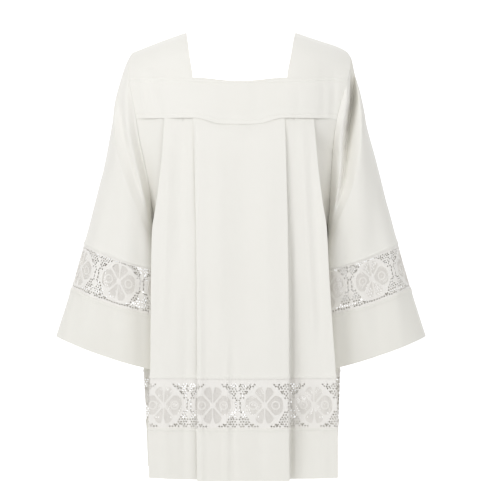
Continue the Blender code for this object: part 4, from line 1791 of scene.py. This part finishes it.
@dataclass(frozen=True)
class Studio:
    """A pale floor and backdrop, soft light, and the camera."""

    floor_z: float = -2.2
    backdrop_y: float = 6.6
    extent: float = 24.0
    distance: float = 5.0
    eye_z: float = -0.456
    view_width: float = 1.05
    sensor: float = 36.0
    shift: float = 0.018
    floor_shade: float = 0.86
    floor_roughness: float = 0.9
    backdrop_shade: float = 0.9
    backdrop_roughness: float = 0.5
    backdrop_glow: float = 0.7
    air: tuple[float, float, float] = (0.993, 0.996, 1.008)
    air_strength: float = 0.61
    lamplight: tuple[float, float, float] = (0.993, 1.000, 1.030)
    lamps: tuple[tuple, ...] = (  # name, place, width and watts
        ("key", (-2.6, -3.2, 1.4), 2.4, 55),
        ("fill", (2.4, -4.2, 0.2), 3.0, 20),
        ("top", (0.3, -2.2, 2.0), 2.0, 16),
        ("back", (-1.8, 3.4, 1.3), 2.4, 10),
    )

    def plane(self, material: bpy.types.Material, place: tuple, turn: tuple = (0, 0, 0)) -> bpy.types.Object:
        """Adds a large plane that is named after its material.

        Args:
            material: Its finish.
            place: Where its middle is.
            turn: How it is turned, in radians about each axis.

        Returns:
            The plane.
        """
        bpy.ops.mesh.primitive_plane_add(size=self.extent, location=place, rotation=turn)
        plane = bpy.context.object
        plane.name = material.name
        plane.data.materials.append(material)
        return plane

    def surfaces(self) -> None:
        """Lays the floor and hangs the backdrop."""
        pale = (*[self.floor_shade] * 3, 1)
        white = (*[self.backdrop_shade] * 3, 1)
        below = new_material("studio_floor", self.floor_roughness, Base_Color=pale)[0]
        behind = new_material(
            "studio_backdrop",
            self.backdrop_roughness,
            Base_Color=white,
            Emission_Color=(1, 1, 1, 1),
            Emission_Strength=self.backdrop_glow,
        )[0]
        floor = self.plane(below, (0, 0, self.floor_z))
        self.plane(behind, (0, self.backdrop_y, 0), (math.pi / 2, 0, 0))

    def lamp(self, name: str, place: tuple, size: float, watts: float) -> None:
        """Adds a soft area light that is aimed at the garment.

        Args:
            name: The light's name.
            place: Where it stands.
            size: Its width.
            watts: Its power.
        """
        data = bpy.data.lights.new(name, "AREA")
        data.size = size
        data.energy = watts
        data.color = self.lamplight
        lamp = bpy.data.objects.new(name, data)
        bpy.context.scene.collection.objects.link(lamp)
        lamp.location = place
        aim = Vector((0, 0, self.eye_z)) - lamp.location
        lamp.rotation_euler = aim.to_track_quat("-Z", "Y").to_euler()

    def build(self) -> None:
        """Makes the studio."""
        self.surfaces()
        scene = bpy.context.scene
        scene.world = bpy.data.worlds.new("studio_air")
        scene.world.use_nodes = True
        air = scene.world.node_tree.nodes["Background"]
        air.inputs["Color"].default_value = (*self.air, 1)
        air.inputs["Strength"].default_value = self.air_strength
        for lamp in self.lamps:
            self.lamp(*lamp)
        data = bpy.data.cameras.new("camera")
        data.sensor_width = self.sensor
        data.lens = self.sensor * self.distance / self.view_width
        data.shift_x = self.shift
        camera = bpy.data.objects.new("camera", data)
        camera.location = (0, -self.distance, self.eye_z)
        camera.rotation_euler = (math.pi / 2, 0, 0)
        scene.collection.objects.link(camera)
        scene.camera = camera
        scene.view_settings.view_transform = "Standard"


def main() -> None:
    """Builds the studio and every piece of the surplice."""
    logging.basicConfig(level=logging.INFO, format="%(name)s: %(message)s")
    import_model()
    Studio().build()
    finishes = Finishes.made()
    body_lace = LaceBand(LaceRepeat())
    sleeve_lace = LaceBand(LaceRepeat(plain_head=SLEEVE_LACE_HEAD))
    for side in Side:
        Yoke(side, finishes).build()
        PleatedBody(finishes, side).build(body_lace)
    for hand in Hand:
        Sleeve(finishes, hand).build(sleeve_lace)


if __name__ == "__main__":
    main()
